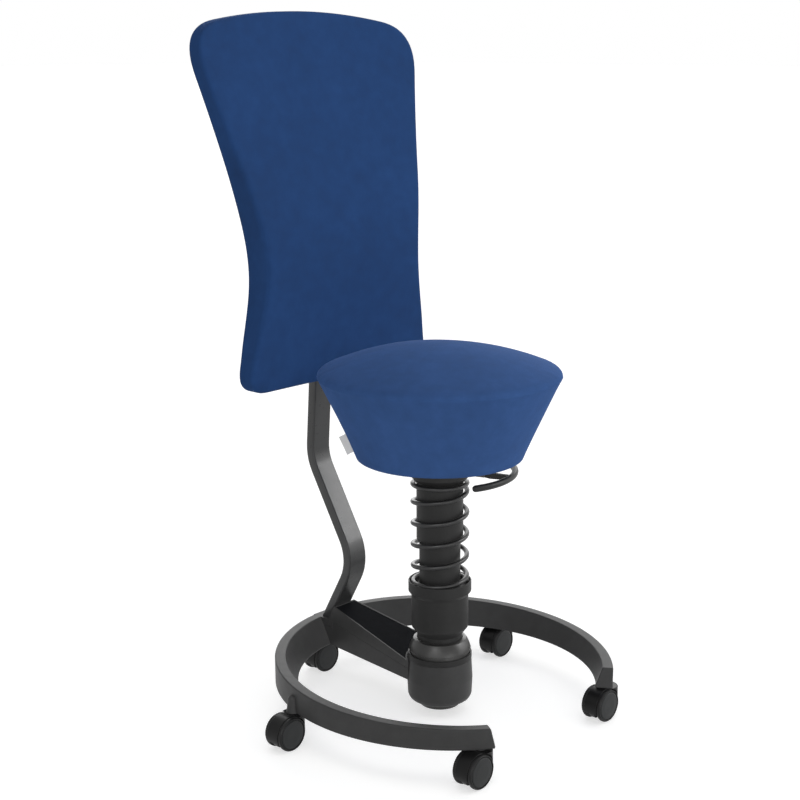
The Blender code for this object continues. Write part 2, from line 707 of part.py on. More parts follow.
foot_loops = [
    slab_loop(ARM_FRONT_Y, crease(ARM_FRONT_Y) + FIT, foot_top(ARM_FRONT_Y), arm_half(ARM_FRONT_Y)),
    slab_loop(ridge_y, crease(ridge_y) + FIT, foot_top(ridge_y), arm_half(ridge_y)),
    slab_loop(step_y, crease(step_y) + FIT, foot_rear(step_y), ARM_REAR_HALF),
    slab_loop(step_y + FIT, NOTCH_Z + FIT, foot_rear(step_y + FIT), ARM_REAR_HALF),
    slab_loop(heel_y, NOTCH_Z + FIT, HEEL_TOP_Z, ARM_REAR_HALF),
    slab_loop(HEEL_REAR_Y, NOTCH_Z + FIT, HEEL_TOP_Z, ARM_REAR_HALF),
]
foot = add_mesh("backrest_foot", lofted("backrest_foot", foot_loops), COATED)
combine(foot, hub_clear, "DIFFERENCE")


def inlay_mesh(name, inset, low, high):
    """Slab that follows the foot's sloping top."""
    loops = []
    for y in (ARM_FRONT_Y, ridge_y - INLAY_LIP - inset):
        half = arm_half(y) - INLAY_LIP - inset
        loops.append(slab_loop(y, foot_top(y) + low, foot_top(y) + high, half))
    return lofted(name, loops)


def lip_room(name, inset):
    """Cutter that keeps the inlay a lip's width away from the hub."""
    return add_cutter(name, cylinder(name, POT_RADIUS + FIT + INLAY_LIP + inset, 0.0, RING_HALF_Y, POT_SIDES))


tray = add_cutter("foot_tray", inlay_mesh("foot_tray", 0.0, -INLAY_DEPTH, INLAY_DEPTH))
combine(tray, lip_room("tray_front", 0.0), "DIFFERENCE")
combine(foot, tray, "DIFFERENCE")
inlay_low = FIT - INLAY_DEPTH
inlay = inlay_mesh("foot_inlay", FIT, inlay_low, inlay_low + INLAY_THICK)
inlay_part = add_mesh("foot_inlay", inlay, BLACK_RUBBER)
combine(inlay_part, lip_room("inlay_front", FIT), "DIFFERENCE")

# Hub
pot_profile = [
    (0.0, POT_FOOT_Z), (POT_FOOT_RADIUS, POT_FOOT_Z), (POT_LOW_RADIUS - POT_CORNER, POT_FOOT_Z + POT_CORNER),
    (POT_LOW_RADIUS, POT_LOW_Z), (POT_RADIUS, POT_BELT_Z), (POT_TOP_RADIUS, POT_TOP_Z),
    (POT_BORE, POT_TOP_Z), (POT_BORE, POT_FLOOR_Z), (0.0, POT_FLOOR_Z),
]
add_mesh("hub_pot", turned("hub_pot", pot_profile, POT_SIDES), COATED)
cap_top = POT_FOOT_Z - FIT
cap_profile = [(0.0, cap_top), (CAP_RADIUS, cap_top), (CAP_FOOT_RADIUS, CAP_FOOT_Z), (0.0, CAP_FOOT_Z)]
cap = add_mesh("hub_bottom_cap", turned("hub_bottom_cap", cap_profile, TUBE_SIDES), BLACK_PLASTIC)
nubs = []
for i in range(NUB_COUNT):
    nub = cylinder("nub", NUB_RADIUS, NUB_FOOT_Z, CAP_FOOT_Z + NUB_RADIUS, PIN_SIDES)
    nubs.append(moved(nub, Matrix.Translation(polar(NUB_CIRCLE, NUB_AZ + 360.0 / NUB_COUNT * i, 0.0))))
combine(cap, add_cutter("cap_nubs", joined("nubs", nubs)), "UNION")


def on_ball(radius, z):
    """Distance from the column axis of a ball surface about the tilt pivot."""
    return math.sqrt(radius * radius - (z - PIVOT_Z) ** 2)


skirt = DOME_RADIUS - DOME_GROOVE
collar_foot = POT_TOP_Z + FIT
collar_bore = round_out(skirt + RUN, POT_SIDES)
collar_profile = [
    (COLLAR_RADIUS, collar_foot), (COLLAR_RADIUS, COLLAR_TOP_Z), (collar_bore, COLLAR_TOP_Z),
    (collar_bore, collar_foot + COLLAR_FLANGE), (POT_BORE, collar_foot + COLLAR_FLANGE),
    (POT_BORE, collar_foot),
]
add_mesh("hub_collar", turned("hub_collar", collar_profile, POT_SIDES, hollow=True), BLACK_PLASTIC)

socket = BALL_RADIUS + RUN
post_foot = POT_FLOOR_Z + FIT
seat_depths = [POST_TOP_Z] + [PIVOT_Z - socket * step for step in SOCKET_STEPS]
post_profile = [(0.0, post_foot), (POST_RADIUS, post_foot), (POST_RADIUS, POST_TOP_Z)]
post_profile += [(on_ball(socket, z), z) for z in seat_depths]
post_profile.append((0.0, PIVOT_Z - socket))
add_mesh("ball_seat", turned("ball_seat", post_profile, ROD_SIDES), STEEL)
buffer_top = POT_TOP_Z - BUFFER_BELOW_TOP
buffer_profile = [(POST_RADIUS + FIT, BUFFER_FOOT_Z), (POT_BORE - FIT, BUFFER_FOOT_Z),
                  (POT_BORE - FIT, buffer_top), (POST_RADIUS + FIT, buffer_top)]
add_mesh("rubber_buffer", turned("rubber_buffer", buffer_profile, TUBE_SIDES, hollow=True), BLACK_RUBBER)

ball_steps = 8
ball_profile = []
for i in range(ball_steps + 1):
    angle = math.pi * i / ball_steps
    ball_profile.append((BALL_RADIUS * math.sin(angle), PIVOT_Z + BALL_RADIUS * math.cos(angle)))
ball_profile[0] = (0.0, PIVOT_Z + BALL_RADIUS)
ball_profile[-1] = (0.0, PIVOT_Z - BALL_RADIUS)
add_mesh("pivot_ball", turned("pivot_ball", ball_profile, BALL_SIDES), STEEL, TILT_PLACE, TILT)

# Tilting column
stud_top = NECK_FOOT_Z - FIT
stud_depths = [PIVOT_Z + socket * step for step in reversed(SOCKET_STEPS)] + [STUD_FOOT_Z]
stud_profile = [(0.0, PIVOT_Z + socket)] + [(on_ball(socket, z), z) for z in stud_depths]
stud_profile += [(STUD_RADIUS, STUD_FOOT_Z), (STUD_RADIUS, stud_top - STUD_FLANGE),
                 (STUD_FLANGE_RADIUS, stud_top - STUD_FLANGE), (STUD_FLANGE_RADIUS, stud_top),
                 (0.0, stud_top)]
add_mesh("column_stud", turned("column_stud", stud_profile, ROD_SIDES), STEEL, TILT_PLACE, TILT)

dome_inside = skirt - DOME_WALL
dome_bore = NECK_RADIUS + FIT
shoulder_z = DOME_TOP_Z - DOME_SHOULDER
dome_steps = 4
dome_profile = [(on_ball(skirt, DOME_EDGE_Z), DOME_EDGE_Z), (on_ball(skirt, DOME_GROOVE_Z), DOME_GROOVE_Z)]
for i in range(dome_steps + 1):
    z = DOME_GROOVE_Z + (shoulder_z - DOME_GROOVE_Z) * i / dome_steps
    dome_profile.append((on_ball(DOME_RADIUS, z), z))
dome_profile += [(dome_profile[-1][0] - DOME_SHOULDER, DOME_TOP_Z), (dome_bore, DOME_TOP_Z)]
dome_ceiling = DOME_TOP_Z - DOME_WALL
dome_profile.append((dome_bore, dome_ceiling))
for i in range(dome_steps + 1):
    z = dome_ceiling - DOME_WALL + (DOME_EDGE_Z - dome_ceiling + DOME_WALL) * i / dome_steps
    dome_profile.append((on_ball(dome_inside, z), z))
dome = turned("boot_dome", dome_profile, POT_SIDES, hollow=True)
add_mesh("boot_dome", dome, BLACK_PLASTIC, TILT_PLACE, TILT)

tube_bore = LOWER_TUBE_RADIUS + FIT
lip_radius = CUP_INSIDE + CUP_LIP_WALL
cup_profile = [
    (0.0, NECK_FOOT_Z), (NECK_RADIUS, NECK_FOOT_Z), (NECK_RADIUS, NECK_TOP_Z),
    (CUP_RADIUS, CUP_FOOT_Z), (CUP_RADIUS, CUP_LIP_Z - CUP_FLARE), (lip_radius, CUP_LIP_Z),
    (lip_radius, CUP_TOP_Z), (CUP_INSIDE, CUP_TOP_Z), (CUP_INSIDE, SPRING_SEAT_Z),
    (tube_bore, SPRING_SEAT_Z), (tube_bore, TUBE_FLOOR_Z), (0.0, TUBE_FLOOR_Z),
]
add_mesh("spring_cup", turned("spring_cup", cup_profile, POT_SIDES), BLACK_PLASTIC, TILT_PLACE, TILT)


def tube_profile(radius, wall, low, high):
    return [(radius, low), (radius, high), (radius - wall, high), (radius - wall, low)]


lower = tube_profile(LOWER_TUBE_RADIUS, TUBE_WALL, TUBE_FLOOR_Z + FIT, LOWER_TUBE_TOP_Z)
add_mesh("lower_tube", turned("lower_tube", lower, TUBE_SIDES, hollow=True), BLACK_PLASTIC, TILT_PLACE, TILT)

upper_bore = UPPER_TUBE_RADIUS - TUBE_WALL
upper_profile = [
    (UPPER_TUBE_RADIUS - UPPER_TUBE_CHAMFER, UPPER_TUBE_FOOT_Z),
    (UPPER_TUBE_RADIUS, UPPER_TUBE_FOOT_Z + UPPER_TUBE_CHAMFER), (UPPER_TUBE_RADIUS, UPPER_TUBE_TOP_Z),
    (upper_bore, UPPER_TUBE_TOP_Z), (upper_bore, UPPER_TUBE_FOOT_Z),
]
upper = turned("upper_tube", upper_profile, TUBE_SIDES, hollow=True)
add_mesh("upper_tube", upper, BLACK_PLASTIC, TILT_PLACE, TILT)
bush_wall = upper_bore - FIT - LOWER_TUBE_RADIUS - RUN
bush = tube_profile(upper_bore - FIT, bush_wall, BUSH_FOOT_Z, BUSH_FOOT_Z + BUSH_LENGTH)
add_mesh("guide_bush", turned("guide_bush", bush, TUBE_SIDES, hollow=True), GREY_PLASTIC, TILT_PLACE, TILT)

gas_bore = GAS_RADIUS + RUN
cone_bore = UPPER_TUBE_RADIUS + FIT
cone_profile = [
    (gas_bore, UPPER_TUBE_TOP_Z + FIT), (cone_bore, UPPER_TUBE_TOP_Z + FIT), (cone_bore, CONE_FOOT_Z),
    (CONE_RADIUS, CONE_RIM_Z), (CONE_RADIUS, CONE_TOP_Z - CONE_EDGE),
    (CONE_RADIUS - CONE_EDGE, CONE_TOP_Z), (gas_bore, CONE_TOP_Z),
]
add_mesh("upper_spring_cup", turned("upper_spring_cup", cone_profile, POT_SIDES, hollow=True), BLACK_PLASTIC,
         TILT_PLACE, TILT)

lift_bore = GAS_RADIUS + LIFT_TUBE_GAP
lift_profile = [
    (0.0, LIFT_TUBE_FOOT_Z), (lift_bore + LIFT_TUBE_WALL, LIFT_TUBE_FOOT_Z),
    (lift_bore + LIFT_TUBE_WALL, UPPER_TUBE_TOP_Z), (lift_bore, UPPER_TUBE_TOP_Z),
    (lift_bore, LIFT_TUBE_FOOT_Z + LIFT_TUBE_FLOOR), (0.0, LIFT_TUBE_FOOT_Z + LIFT_TUBE_FLOOR),
]
add_mesh("lift_tube", turned("lift_tube", lift_profile, ROD_SIDES), STEEL, TILT_PLACE, TILT)
rod_foot = LIFT_TUBE_FOOT_Z + LIFT_TUBE_FLOOR + FIT
rod = cylinder("piston_rod", ROD_RADIUS, rod_foot, ROD_TOP_Z, PIN_SIDES)
add_mesh("piston_rod", rod, STEEL, TILT_PLACE, TILT)
gas_profile = [
    (0.0, GAS_BORE_TOP_Z), (ROD_RADIUS + RUN, GAS_BORE_TOP_Z), (ROD_RADIUS + RUN, GAS_FOOT_Z),
    (GAS_RADIUS, GAS_FOOT_Z), (GAS_RADIUS, GAS_TOP_Z), (BUTTON_RADIUS + RUN, GAS_TOP_Z),
    (BUTTON_RADIUS + RUN, GAS_TOP_Z - BUTTON_BORE), (0.0, GAS_TOP_Z - BUTTON_BORE),
]
add_mesh("gas_cylinder", turned("gas_cylinder", gas_profile, ROD_SIDES), STEEL, TILT_PLACE, TILT)
button = cylinder("valve_button", BUTTON_RADIUS, BUTTON_TOP_Z - BUTTON_LENGTH, BUTTON_TOP_Z, PIN_SIDES)
add_mesh("valve_button", button, STEEL, TILT_PLACE, TILT)


# Coil spring: one wire, level at both ends
def coil_height(azimuth):
    free = COIL_MARK_Z + COIL_PITCH * (azimuth - COIL_MARK_AZ) / 360.0
    up = COIL_BOTTOM_Z + COIL_EASE * math.log1p(math.exp((free - COIL_BOTTOM_Z) / COIL_EASE))
    return COIL_TOP_Z - COIL_EASE * math.log1p(math.exp((COIL_TOP_Z - up) / COIL_EASE))


coil_count = round((COIL_END_AZ - COIL_START_AZ) / 360.0 * COIL_POINTS)
coil_points = []
for i in range(coil_count + 1):
    azimuth = COIL_START_AZ + (COIL_END_AZ - COIL_START_AZ) * i / coil_count
    coil_points.append(polar(COIL_CORNER, azimuth, coil_height(azimuth)))
coil = bpy.data.curves.new("coil_spring", "CURVE")
coil.dimensions = "3D"
coil.bevel_depth = WIRE_RADIUS
coil.bevel_resolution = 1
coil.use_fill_caps = True
line = coil.splines.new("POLY")
line.points.add(len(coil_points) - 1)
for point, place in zip(line.points, coil_points):
    point.co = (*(place - TILT_PLACE), 1.0)
spring = bpy.data.objects.new("coil_spring", coil)
bpy.context.scene.collection.objects.link(spring)
spring.parent = TILT
coil.materials.append(make_material("coil_spring", (0.06, 0.06, 0.062), 0.8, 0.4))
line.use_smooth = True

apart = COIL_POINTS // 2
least = min((a - b).length for i, a in enumerate(coil_points) for b in coil_points[i + apart:])
print(f"coil spring: least gap to itself {1000.0 * (least - 2.0 * WIRE_RADIUS):.2f} mm")

# Seat
hub_foot = CONE_TOP_Z + HUB_GAP
plate_profile = [
    (0.0, HAT_TOP_Z), (HAT_RADIUS, HAT_TOP_Z), (HAT_RADIUS, PLATE_TOP_Z), (PLATE_RADIUS, PLATE_TOP_Z),
    (PLATE_RADIUS, PLATE_FOOT_Z), (HAT_RADIUS - HAT_WALL, PLATE_FOOT_Z),
    (HAT_RADIUS - HAT_WALL, HAT_TOP_Z - HAT_WALL), (HUB_RADIUS, HAT_TOP_Z - HAT_WALL),
    (HUB_RADIUS, hub_foot), (gas_bore, hub_foot), (gas_bore, HAT_TOP_Z - HAT_WALL),
    (0.0, HAT_TOP_Z - HAT_WALL),
]
plate = add_mesh("seat_plate", turned("seat_plate", plate_profile, POT_SIDES), COATED, TILT_PLACE, TILT)

slot_half = ARM_HALF_WIDTH + RUN + RUN
slot_low = GAS_TOP_Z - RUN
slot = box("hub_slot", (-slot_half, -HUB_RADIUS - ARM_HALF_WIDTH, slot_low),
           (slot_half, 0.0, HAT_TOP_Z - HAT_WALL - RUN))
slot.transform(Matrix.Rotation(math.radians(LEVER_AZ), 4, "Z"))
combine(plate, add_cutter("hub_slot", slot), "DIFFERENCE")

seat_side = Vector((SEAT_RIM_RADIUS - SEAT_BOTTOM_RADIUS, SEAT_RIM_Z - SEAT_BOTTOM_Z))
side_slope = seat_side[0] / seat_side[1]


def seat_side_radius(z):
    """Side of the cushion, slightly drawn in between its two edges."""
    share = (z - SEAT_BOTTOM_Z) / seat_side[1]
    return SEAT_BOTTOM_RADIUS + seat_side[0] * share - SEAT_WAIST * math.sin(math.pi * share)


recess_top = HAT_TOP_Z + FIT
recess_radius = HAT_RADIUS + FIT + FIT
cushion_profile = [(0.0, recess_top), (recess_radius, recess_top), (recess_radius, SEAT_BOTTOM_Z),
                   (SEAT_BOTTOM_RADIUS - SEAT_BOTTOM_ROUND, SEAT_BOTTOM_Z)]
corner_z = SEAT_BOTTOM_Z + SEAT_BOTTOM_ROUND
corner_in = SEAT_BOTTOM_ROUND * SEAT_CORNER
cushion_profile.append((seat_side_radius(corner_z) - corner_in, SEAT_BOTTOM_Z + corner_in))
side_top = SEAT_RIM_Z - SEAT_RIM_ROUND
side_steps = 4
for i in range(side_steps + 1):
    z = corner_z + (side_top - corner_z) * i / side_steps
    cushion_profile.append((seat_side_radius(z), z))
cushion_profile.append((SEAT_RIM_RADIUS, SEAT_RIM_Z))
rim_middle = (SEAT_RIM_RADIUS - SEAT_RIM_ROUND * SEAT_RIM_IN, SEAT_RIM_Z + SEAT_RIM_ROUND * SEAT_RIM_UP)
cushion_profile.append(rim_middle)
crown_edge = SEAT_RIM_RADIUS - SEAT_RIM_ROUND
crown_low = SEAT_RIM_Z + SEAT_RIM_ROUND
crown_steps = 4
for i in range(crown_steps):
    share = 1.0 - (i / crown_steps) ** SEAT_CROWN_GATHER * SEAT_CROWN_INSET
    drop = (SEAT_CROWN_Z - crown_low) * share * share
    cushion_profile.append((crown_edge * share * SEAT_CROWN_INSET, SEAT_CROWN_Z - drop))
cushion_profile.append((0.0, SEAT_CROWN_Z))
cushion = turned("seat_cushion", cushion_profile, SEAT_SEGMENTS)
add_mesh("seat_cushion", cushion, BLUE_CLOTH, TILT_PLACE, TILT)

# Sewn tag standing out of the seat's side
tag_low = SEAT_BOTTOM_Z + TAG_FOOT_UP
tag_rise = TAG_LENGTH / math.hypot(1.0, side_slope)
tag_corners = []
for z, out in ((tag_low, 0.0), (tag_low + tag_rise, 0.0), (tag_low + tag_rise, 1.0), (tag_low, 1.0)):
    radius = seat_side_radius(z) + FIT + out * TAG_WIDTH / math.hypot(1.0, side_slope)
    tag_corners.append((radius, z - out * TAG_WIDTH * side_slope / math.hypot(1.0, side_slope)))
tag_across = polar(TAG_THICK / 2.0, TAG_AZ + 90.0, 0.0)
tag_loops = []
for sign in (-1.0, 1.0):
    tag_loops.append([polar(r, TAG_AZ, z) + sign * tag_across for r, z in tag_corners])
add_mesh("seat_tag", lofted("seat_tag", tag_loops), PALE_CLOTH, TILT_PLACE, TILT)

# Release lever: curved grip under the seat, arm to the valve button, bracket and pin
pin_place = polar(PIN_CIRCLE, LEVER_AZ, PIN_Z)
lever_across = polar(1.0, LEVER_AZ + 90.0, 0.0)


def lever_point(radius, z, across):
    return polar(radius, LEVER_AZ, z) + across * lever_across


grip_loops = []
grip_sides = 8
for i in range(-1, GRIP_STATIONS + 2):
    step = min(max(i, 0), GRIP_STATIONS)
    azimuth = LEVER_AZ - LEVER_SPREAD + 2.0 * LEVER_SPREAD * step / GRIP_STATIONS
    size = GRIP_RADIUS
    if i != step:
        size = GRIP_TIP_RADIUS
        azimuth += math.copysign(math.degrees(GRIP_TIP / GRIP_CIRCLE), i)
    loop = []
    for k in range(grip_sides):
        angle = 2.0 * math.pi * k / grip_sides
        loop.append(polar(GRIP_CIRCLE + size * math.cos(angle), azimuth, GRIP_Z + size * math.sin(angle)))
    grip_loops.append(loop)
lever = add_mesh("release_lever", lofted("release_lever", grip_loops), COATED, pin_place, TILT)

arm_stations = [
    (GRIP_CIRCLE, GRIP_Z, GRIP_ROOT_HALF), (PIN_CIRCLE + EAR_LENGTH, GRIP_Z, ARM_HALF_HEIGHT),
    (PIN_CIRCLE, PIN_Z, ARM_HALF_HEIGHT),
    (ARM_RISE_START, PIN_Z + ARM_HALF_HEIGHT / 2.0, ARM_HALF_HEIGHT),
    (ARM_RISE_MIDDLE, (PIN_Z + TIP_Z) / 2.0 + ARM_HALF_HEIGHT / 2.0, ARM_HALF_HEIGHT),
    (ARM_RISE_END, TIP_Z, TIP_HALF_HEIGHT), (-TIP_REACH, TIP_Z, TIP_HALF_HEIGHT),
]
arm_bar_loops = []
for radius, z, half in arm_stations:
    arm_bar_loops.append([
        lever_point(radius, z - half, -ARM_HALF_WIDTH), lever_point(radius, z - half, ARM_HALF_WIDTH),
        lever_point(radius, z + half, ARM_HALF_WIDTH), lever_point(radius, z + half, -ARM_HALF_WIDTH),
    ])
combine(lever, add_cutter("lever_arm", lofted("lever_arm", arm_bar_loops)), "UNION")

ear_inner = ARM_HALF_WIDTH + RUN + RUN
ear_outer = ear_inner + EAR_THICK
pin_half = ear_outer + EAR_THICK / 2.0
bracket_top = PLATE_FOOT_Z - FIT
bracket_low = PIN_Z - EAR_BELOW_PIN
bracket_web = bracket_top - EAR_THICK
bracket_outline = [
    (-ear_outer, bracket_low), (-ear_inner, bracket_low), (-ear_inner, bracket_web), (ear_inner, bracket_web),
    (ear_inner, bracket_low), (ear_outer, bracket_low), (ear_outer, bracket_top), (-ear_outer, bracket_top),
]
bracket_loops = []
for radius in (PIN_CIRCLE - EAR_LENGTH / 2.0, PIN_CIRCLE + EAR_LENGTH / 2.0):
    bracket_loops.append([lever_point(radius, z, across) for across, z in bracket_outline])
bracket = add_mesh("lever_bracket", lofted("lever_bracket", bracket_loops), STEEL, TILT_PLACE, TILT)

TO_PIN = Matrix.Translation(pin_place) @ Matrix.Rotation(math.radians(LEVER_AZ), 4, "Z") @ Matrix.Rotation(
    math.pi / 2.0, 4, "Y")
pin_room = cylinder("pin_bore", PIN_RADIUS + RUN, -2.0 * pin_half, 2.0 * pin_half, PIN_SIDES)
pin_bore = add_cutter("pin_bore", moved(pin_room, TO_PIN))
combine(lever, pin_bore, "DIFFERENCE")
combine(bracket, pin_bore, "DIFFERENCE")
pin = moved(cylinder("lever_pin", PIN_RADIUS, -pin_half, pin_half, PIN_SIDES), TO_PIN)
add_mesh("lever_pin", pin, STEEL, pin_place, TILT)


# Backrest bar
def rounded_path(corners):
    """Points along straight runs joined by arcs; each corner is (y, z, radius)."""
    points = [Vector(corners[0][:2])]
    for before, corner, after in zip(corners, corners[1:], corners[2:]):
        place = Vector(corner[:2])
        come = (place - Vector(before[:2])).normalized()
        go = (Vector(after[:2]) - place).normalized()
        turn = come.angle(go)
        start = place - come * corner[2] * math.tan(turn / 2.0)
        side = (go - come).normalized()
        centre = place + side * corner[2] / math.cos(turn / 2.0)
        first = start - centre
        spin = 1.0 if come.cross(go) > 0.0 else -1.0
        steps = max(2, round(math.degrees(turn) / BAR_ARC_STEP))
        for i in range(steps + 1):
            points.append(centre + Matrix.Rotation(spin * turn * i / steps, 2) @ first)
    points.append(Vector(corners[-1][:2]))
    return points


bar_foot_z = HEEL_TOP_Z + FIT
bar_foot_y = BAR_KNEE_Y + BAR_FOOT_SLOPE * (BAR_KNEE_Z - bar_foot_z)
bar_path = rounded_path([
    (bar_foot_y, bar_foot_z, 0.0), (BAR_KNEE_Y, BAR_KNEE_Z, BAR_KNEE_RADIUS),
    (BAR_BEND_Y, BAR_BEND_Z, BAR_BEND_RADIUS), (BAR_TOP_Y, BAR_SET_Z, BAR_BEND_RADIUS),
    (BAR_TOP_Y, BAR_TOP_Z, 0.0),
])
bar_section = []
for corner in range(4):
    for step in range(3):
        angle = math.pi / 2.0 * (corner + step / 2.0)
        cx = math.copysign(BAR_WIDTH / 2.0 - BAR_ROUND, math.cos(math.pi / 2.0 * (corner + 0.5)))
        ct = math.copysign(BAR_THICK / 2.0 - BAR_ROUND, math.sin(math.pi / 2.0 * (corner + 0.5)))
        bar_section.append((cx + BAR_ROUND * math.cos(angle), ct + BAR_ROUND * math.sin(angle)))
bar_loops = []
for i, place in enumerate(bar_path):
    ahead = bar_path[min(i + 1, len(bar_path) - 1)] - bar_path[max(i - 1, 0)]
    ahead.normalize()
    loop = []
    for x, t in bar_section:
        y = place[0] + t * ahead[1]
        z = place[1] - t * ahead[0]
        if i == 0:
            slide = (bar_foot_z - z) / ahead[1]
            y += slide * ahead[0]
            z = bar_foot_z
        loop.append((x, y, z))
    bar_loops.append(loop)
add_mesh("backrest_bar", lofted("backrest_bar", bar_loops), COATED)


# Backrest shell and cushion
def lean(z):
    """Backward lean of the panel, blending in above the waist."""
    over = z - PANEL_LEAN_Z
    if over <= -PANEL_LEAN_BLEND:
        return 0.0
    if over >= PANEL_LEAN_BLEND:
        return PANEL_LEAN * over + PANEL_CURL * (max(0.0, z - PANEL_CURL_Z) / PANEL_CURL_SPAN) ** 2
    return PANEL_LEAN * (over + PANEL_LEAN_BLEND) ** 2 / (4.0 * PANEL_LEAN_BLEND)


def panel_back(x, z):
    return PANEL_BACK_Y + lean(z) + PANEL_DISH * (1.0 - (x / PANEL_DISH_HALF) ** 2)


def panel_thick(z):
    return PANEL_THICK + PANEL_LUMBAR * math.exp(-((z - PANEL_LUMBAR_Z) / PANEL_LUMBAR_SPAN) ** 2)


def smooth_side(knots, steps):
    """Smooth curve through (height, half width) knots."""
    chain = [2.0 * knots[0] - knots[1], *knots, 2.0 * knots[-1] - knots[-2]]
    points = []
    for a, b, c, d in zip(chain, chain[1:], chain[2:], chain[3:]):
        for i in range(steps):
            t = i / steps
            points.append(b + 0.5 * t * (c - a + t * (2 * a - 5 * b + 4 * c - d + t * (3 * (b - c) + d - a))))
    points.append(knots[-1])
    return points


def eased_corner(before, corner, after, size):
    """Rounded corner between two directions, from size before it to size after it."""
    p0 = corner + (before - corner).normalized() * size
    p2 = corner + (after - corner).normalized() * size
    points = []
    for i in range(PANEL_CORNER_STEPS + 1):
        t = i / PANEL_CORNER_STEPS
        points.append((1 - t) ** 2 * p0 + 2 * t * (1 - t) * corner + t * t * p2)
    return points


def panel_top(x):
    """Height of the top edge."""
    return PANEL_TOP_Z - PANEL_ARCH * (x / PANEL_ARCH_SPAN) ** 2


def panel_half():
    """Right half of the outline as (height, half width), from the bottom's middle to the top's middle."""
    knots = [
        Vector((PANEL_FOOT_Z, PANEL_FOOT_HALF)), Vector((PANEL_HIP_Z, PANEL_HIP_HALF)),
        Vector((PANEL_WAIST_Z, PANEL_WAIST_HALF)), Vector((PANEL_CHEST_Z, PANEL_CHEST_HALF)),
        Vector((PANEL_TOP_Z - PANEL_SHOULDER_DROP, PANEL_SHOULDER_HALF)),
    ]
    side = smooth_side(knots, PANEL_SIDE_STEPS)
    low = side[0]
    high = side[-1]
    top_start = high[1] - PANEL_SHOULDER_ROUND
    along_top = Vector((panel_top(top_start), top_start))
    bottom_end = low[1] - PANEL_FOOT_ROUND
    points = [Vector((low[0], bottom_end * i / PANEL_LEVEL_STEPS)) for i in range(PANEL_LEVEL_STEPS)]
    points += eased_corner(points[0], low, side[1], PANEL_FOOT_ROUND)
    for p in side:
        if low[0] + PANEL_FOOT_ROUND < p[0] < high[0] - PANEL_SHOULDER_ROUND:
            points.append(p)
    points += eased_corner(side[-2], high, along_top, PANEL_SHOULDER_ROUND)
    start = points[-1][1]
    for i in range(1, PANEL_LEVEL_STEPS + 1):
        x = start * (1.0 - i / PANEL_LEVEL_STEPS)
        points.append(Vector((panel_top(x), x)))
    return points


half_line = panel_half()
panel_line = [Vector((p[1], p[0])) for p in half_line]
panel_line += [Vector((-p[1], p[0])) for p in half_line[-2:0:-1]]
panel_middle = Vector((0.0, PANEL_MIDDLE_Z))


def shrunk(line, inset):
    """The outline moved inwards by about the inset."""
    moved_line = []
    for i, p in enumerate(line):
        along = line[(i + 1) % len(line)] - line[i - 1]
        moved_line.append(p + Vector((-along[1], along[0])).normalized() * inset)
    return moved_line


def scaled(line, share):
    return [panel_middle + (p - panel_middle) * share for p in line]


def panel_body(name, rings, first_centre, last_centre):
    """Body from rings of points; its two faces close on a middle point each."""
    bm = bmesh.new()
    loops = [[bm.verts.new(p) for p in ring] for ring in rings]
    count = len(loops[0])
    for a, b in zip(loops, loops[1:]):
        for i in range(count):
            j = (i + 1) % count
            bm.faces.new((a[i], a[j], b[j]))
            bm.faces.new((a[i], b[j], b[i]))
    for loop, centre in ((loops[0], first_centre), (loops[-1], last_centre)):
        tip = bm.verts.new(centre)
        for i in range(count):
            bm.faces.new((tip, loop[i], loop[(i + 1) % count]))
    return finish_mesh(bm, name)


def on_back(line, depth):
    """Points at a depth in front of the panel's back face."""
    return [Vector((p[0], panel_back(p[0], p[1]) - depth, p[1])) for p in line]


def in_front(line, share, crown):
    """Points at a share of the cushion's thickness in front of its back face."""
    points = []
    for p in line:
        depth = panel_thick(p[1]) * share + crown
        points.append(Vector((p[0], panel_back(p[0], p[1]) - depth, p[1])))
    return points


shell_line = shrunk(panel_line, SHELL_INSET)
front_line = shrunk(panel_line, PANEL_RIDGE)
back_rings = [on_back(scaled(shell_line, s), 0.0) for s in PANEL_BACK_SHARES] + [on_back(shell_line, 0.0)]
front_rings = [in_front(front_line, 1.0, 0.0)]
for s in PANEL_FRONT_SHARES:
    front_rings.append(in_front(scaled(front_line, s), 1.0, PANEL_CROWN * (1.0 - s * s)))
side_rings = [
    on_back(shrunk(panel_line, PANEL_EDGE), 0.0), in_front(panel_line, PANEL_SIDE_BACK, 0.0),
    in_front(shrunk(panel_line, PANEL_WAISTING), (PANEL_SIDE_BACK + PANEL_SIDE_FRONT) / 2.0, 0.0),
    in_front(panel_line, PANEL_SIDE_FRONT, 0.0),
]
cushion_rings = back_rings + side_rings + front_rings
back_tip = on_back([panel_middle], 0.0)[0]
front_tip = in_front([panel_middle], 1.0, PANEL_CROWN)[0]
add_mesh("backrest_cushion", panel_body("backrest_cushion", cushion_rings, back_tip, front_tip), BLUE_CLOTH)

edge_line = shrunk(shell_line, SHELL_EDGE)
shell_front = [on_back(scaled(shell_line, s), -FIT) for s in PANEL_BACK_SHARES] + [on_back(shell_line, -FIT)]
shell_depth = -FIT - SHELL_THICK
shell_back = [on_back(shell_line, shell_depth + SHELL_EDGE), on_back(edge_line, shell_depth)]
shell_back += [on_back(scaled(edge_line, s), shell_depth) for s in reversed(PANEL_BACK_SHARES)]
shell_tips = [on_back([panel_middle], -FIT)[0], on_back([panel_middle], shell_depth)[0]]
add_mesh("backrest_shell", panel_body("backrest_shell", shell_front + shell_back, *shell_tips), BLACK_PLASTIC)
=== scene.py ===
"""Looks of the spring balance stool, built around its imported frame."""

import json
import math

import bmesh
import bpy
from mathutils import Matrix, Vector

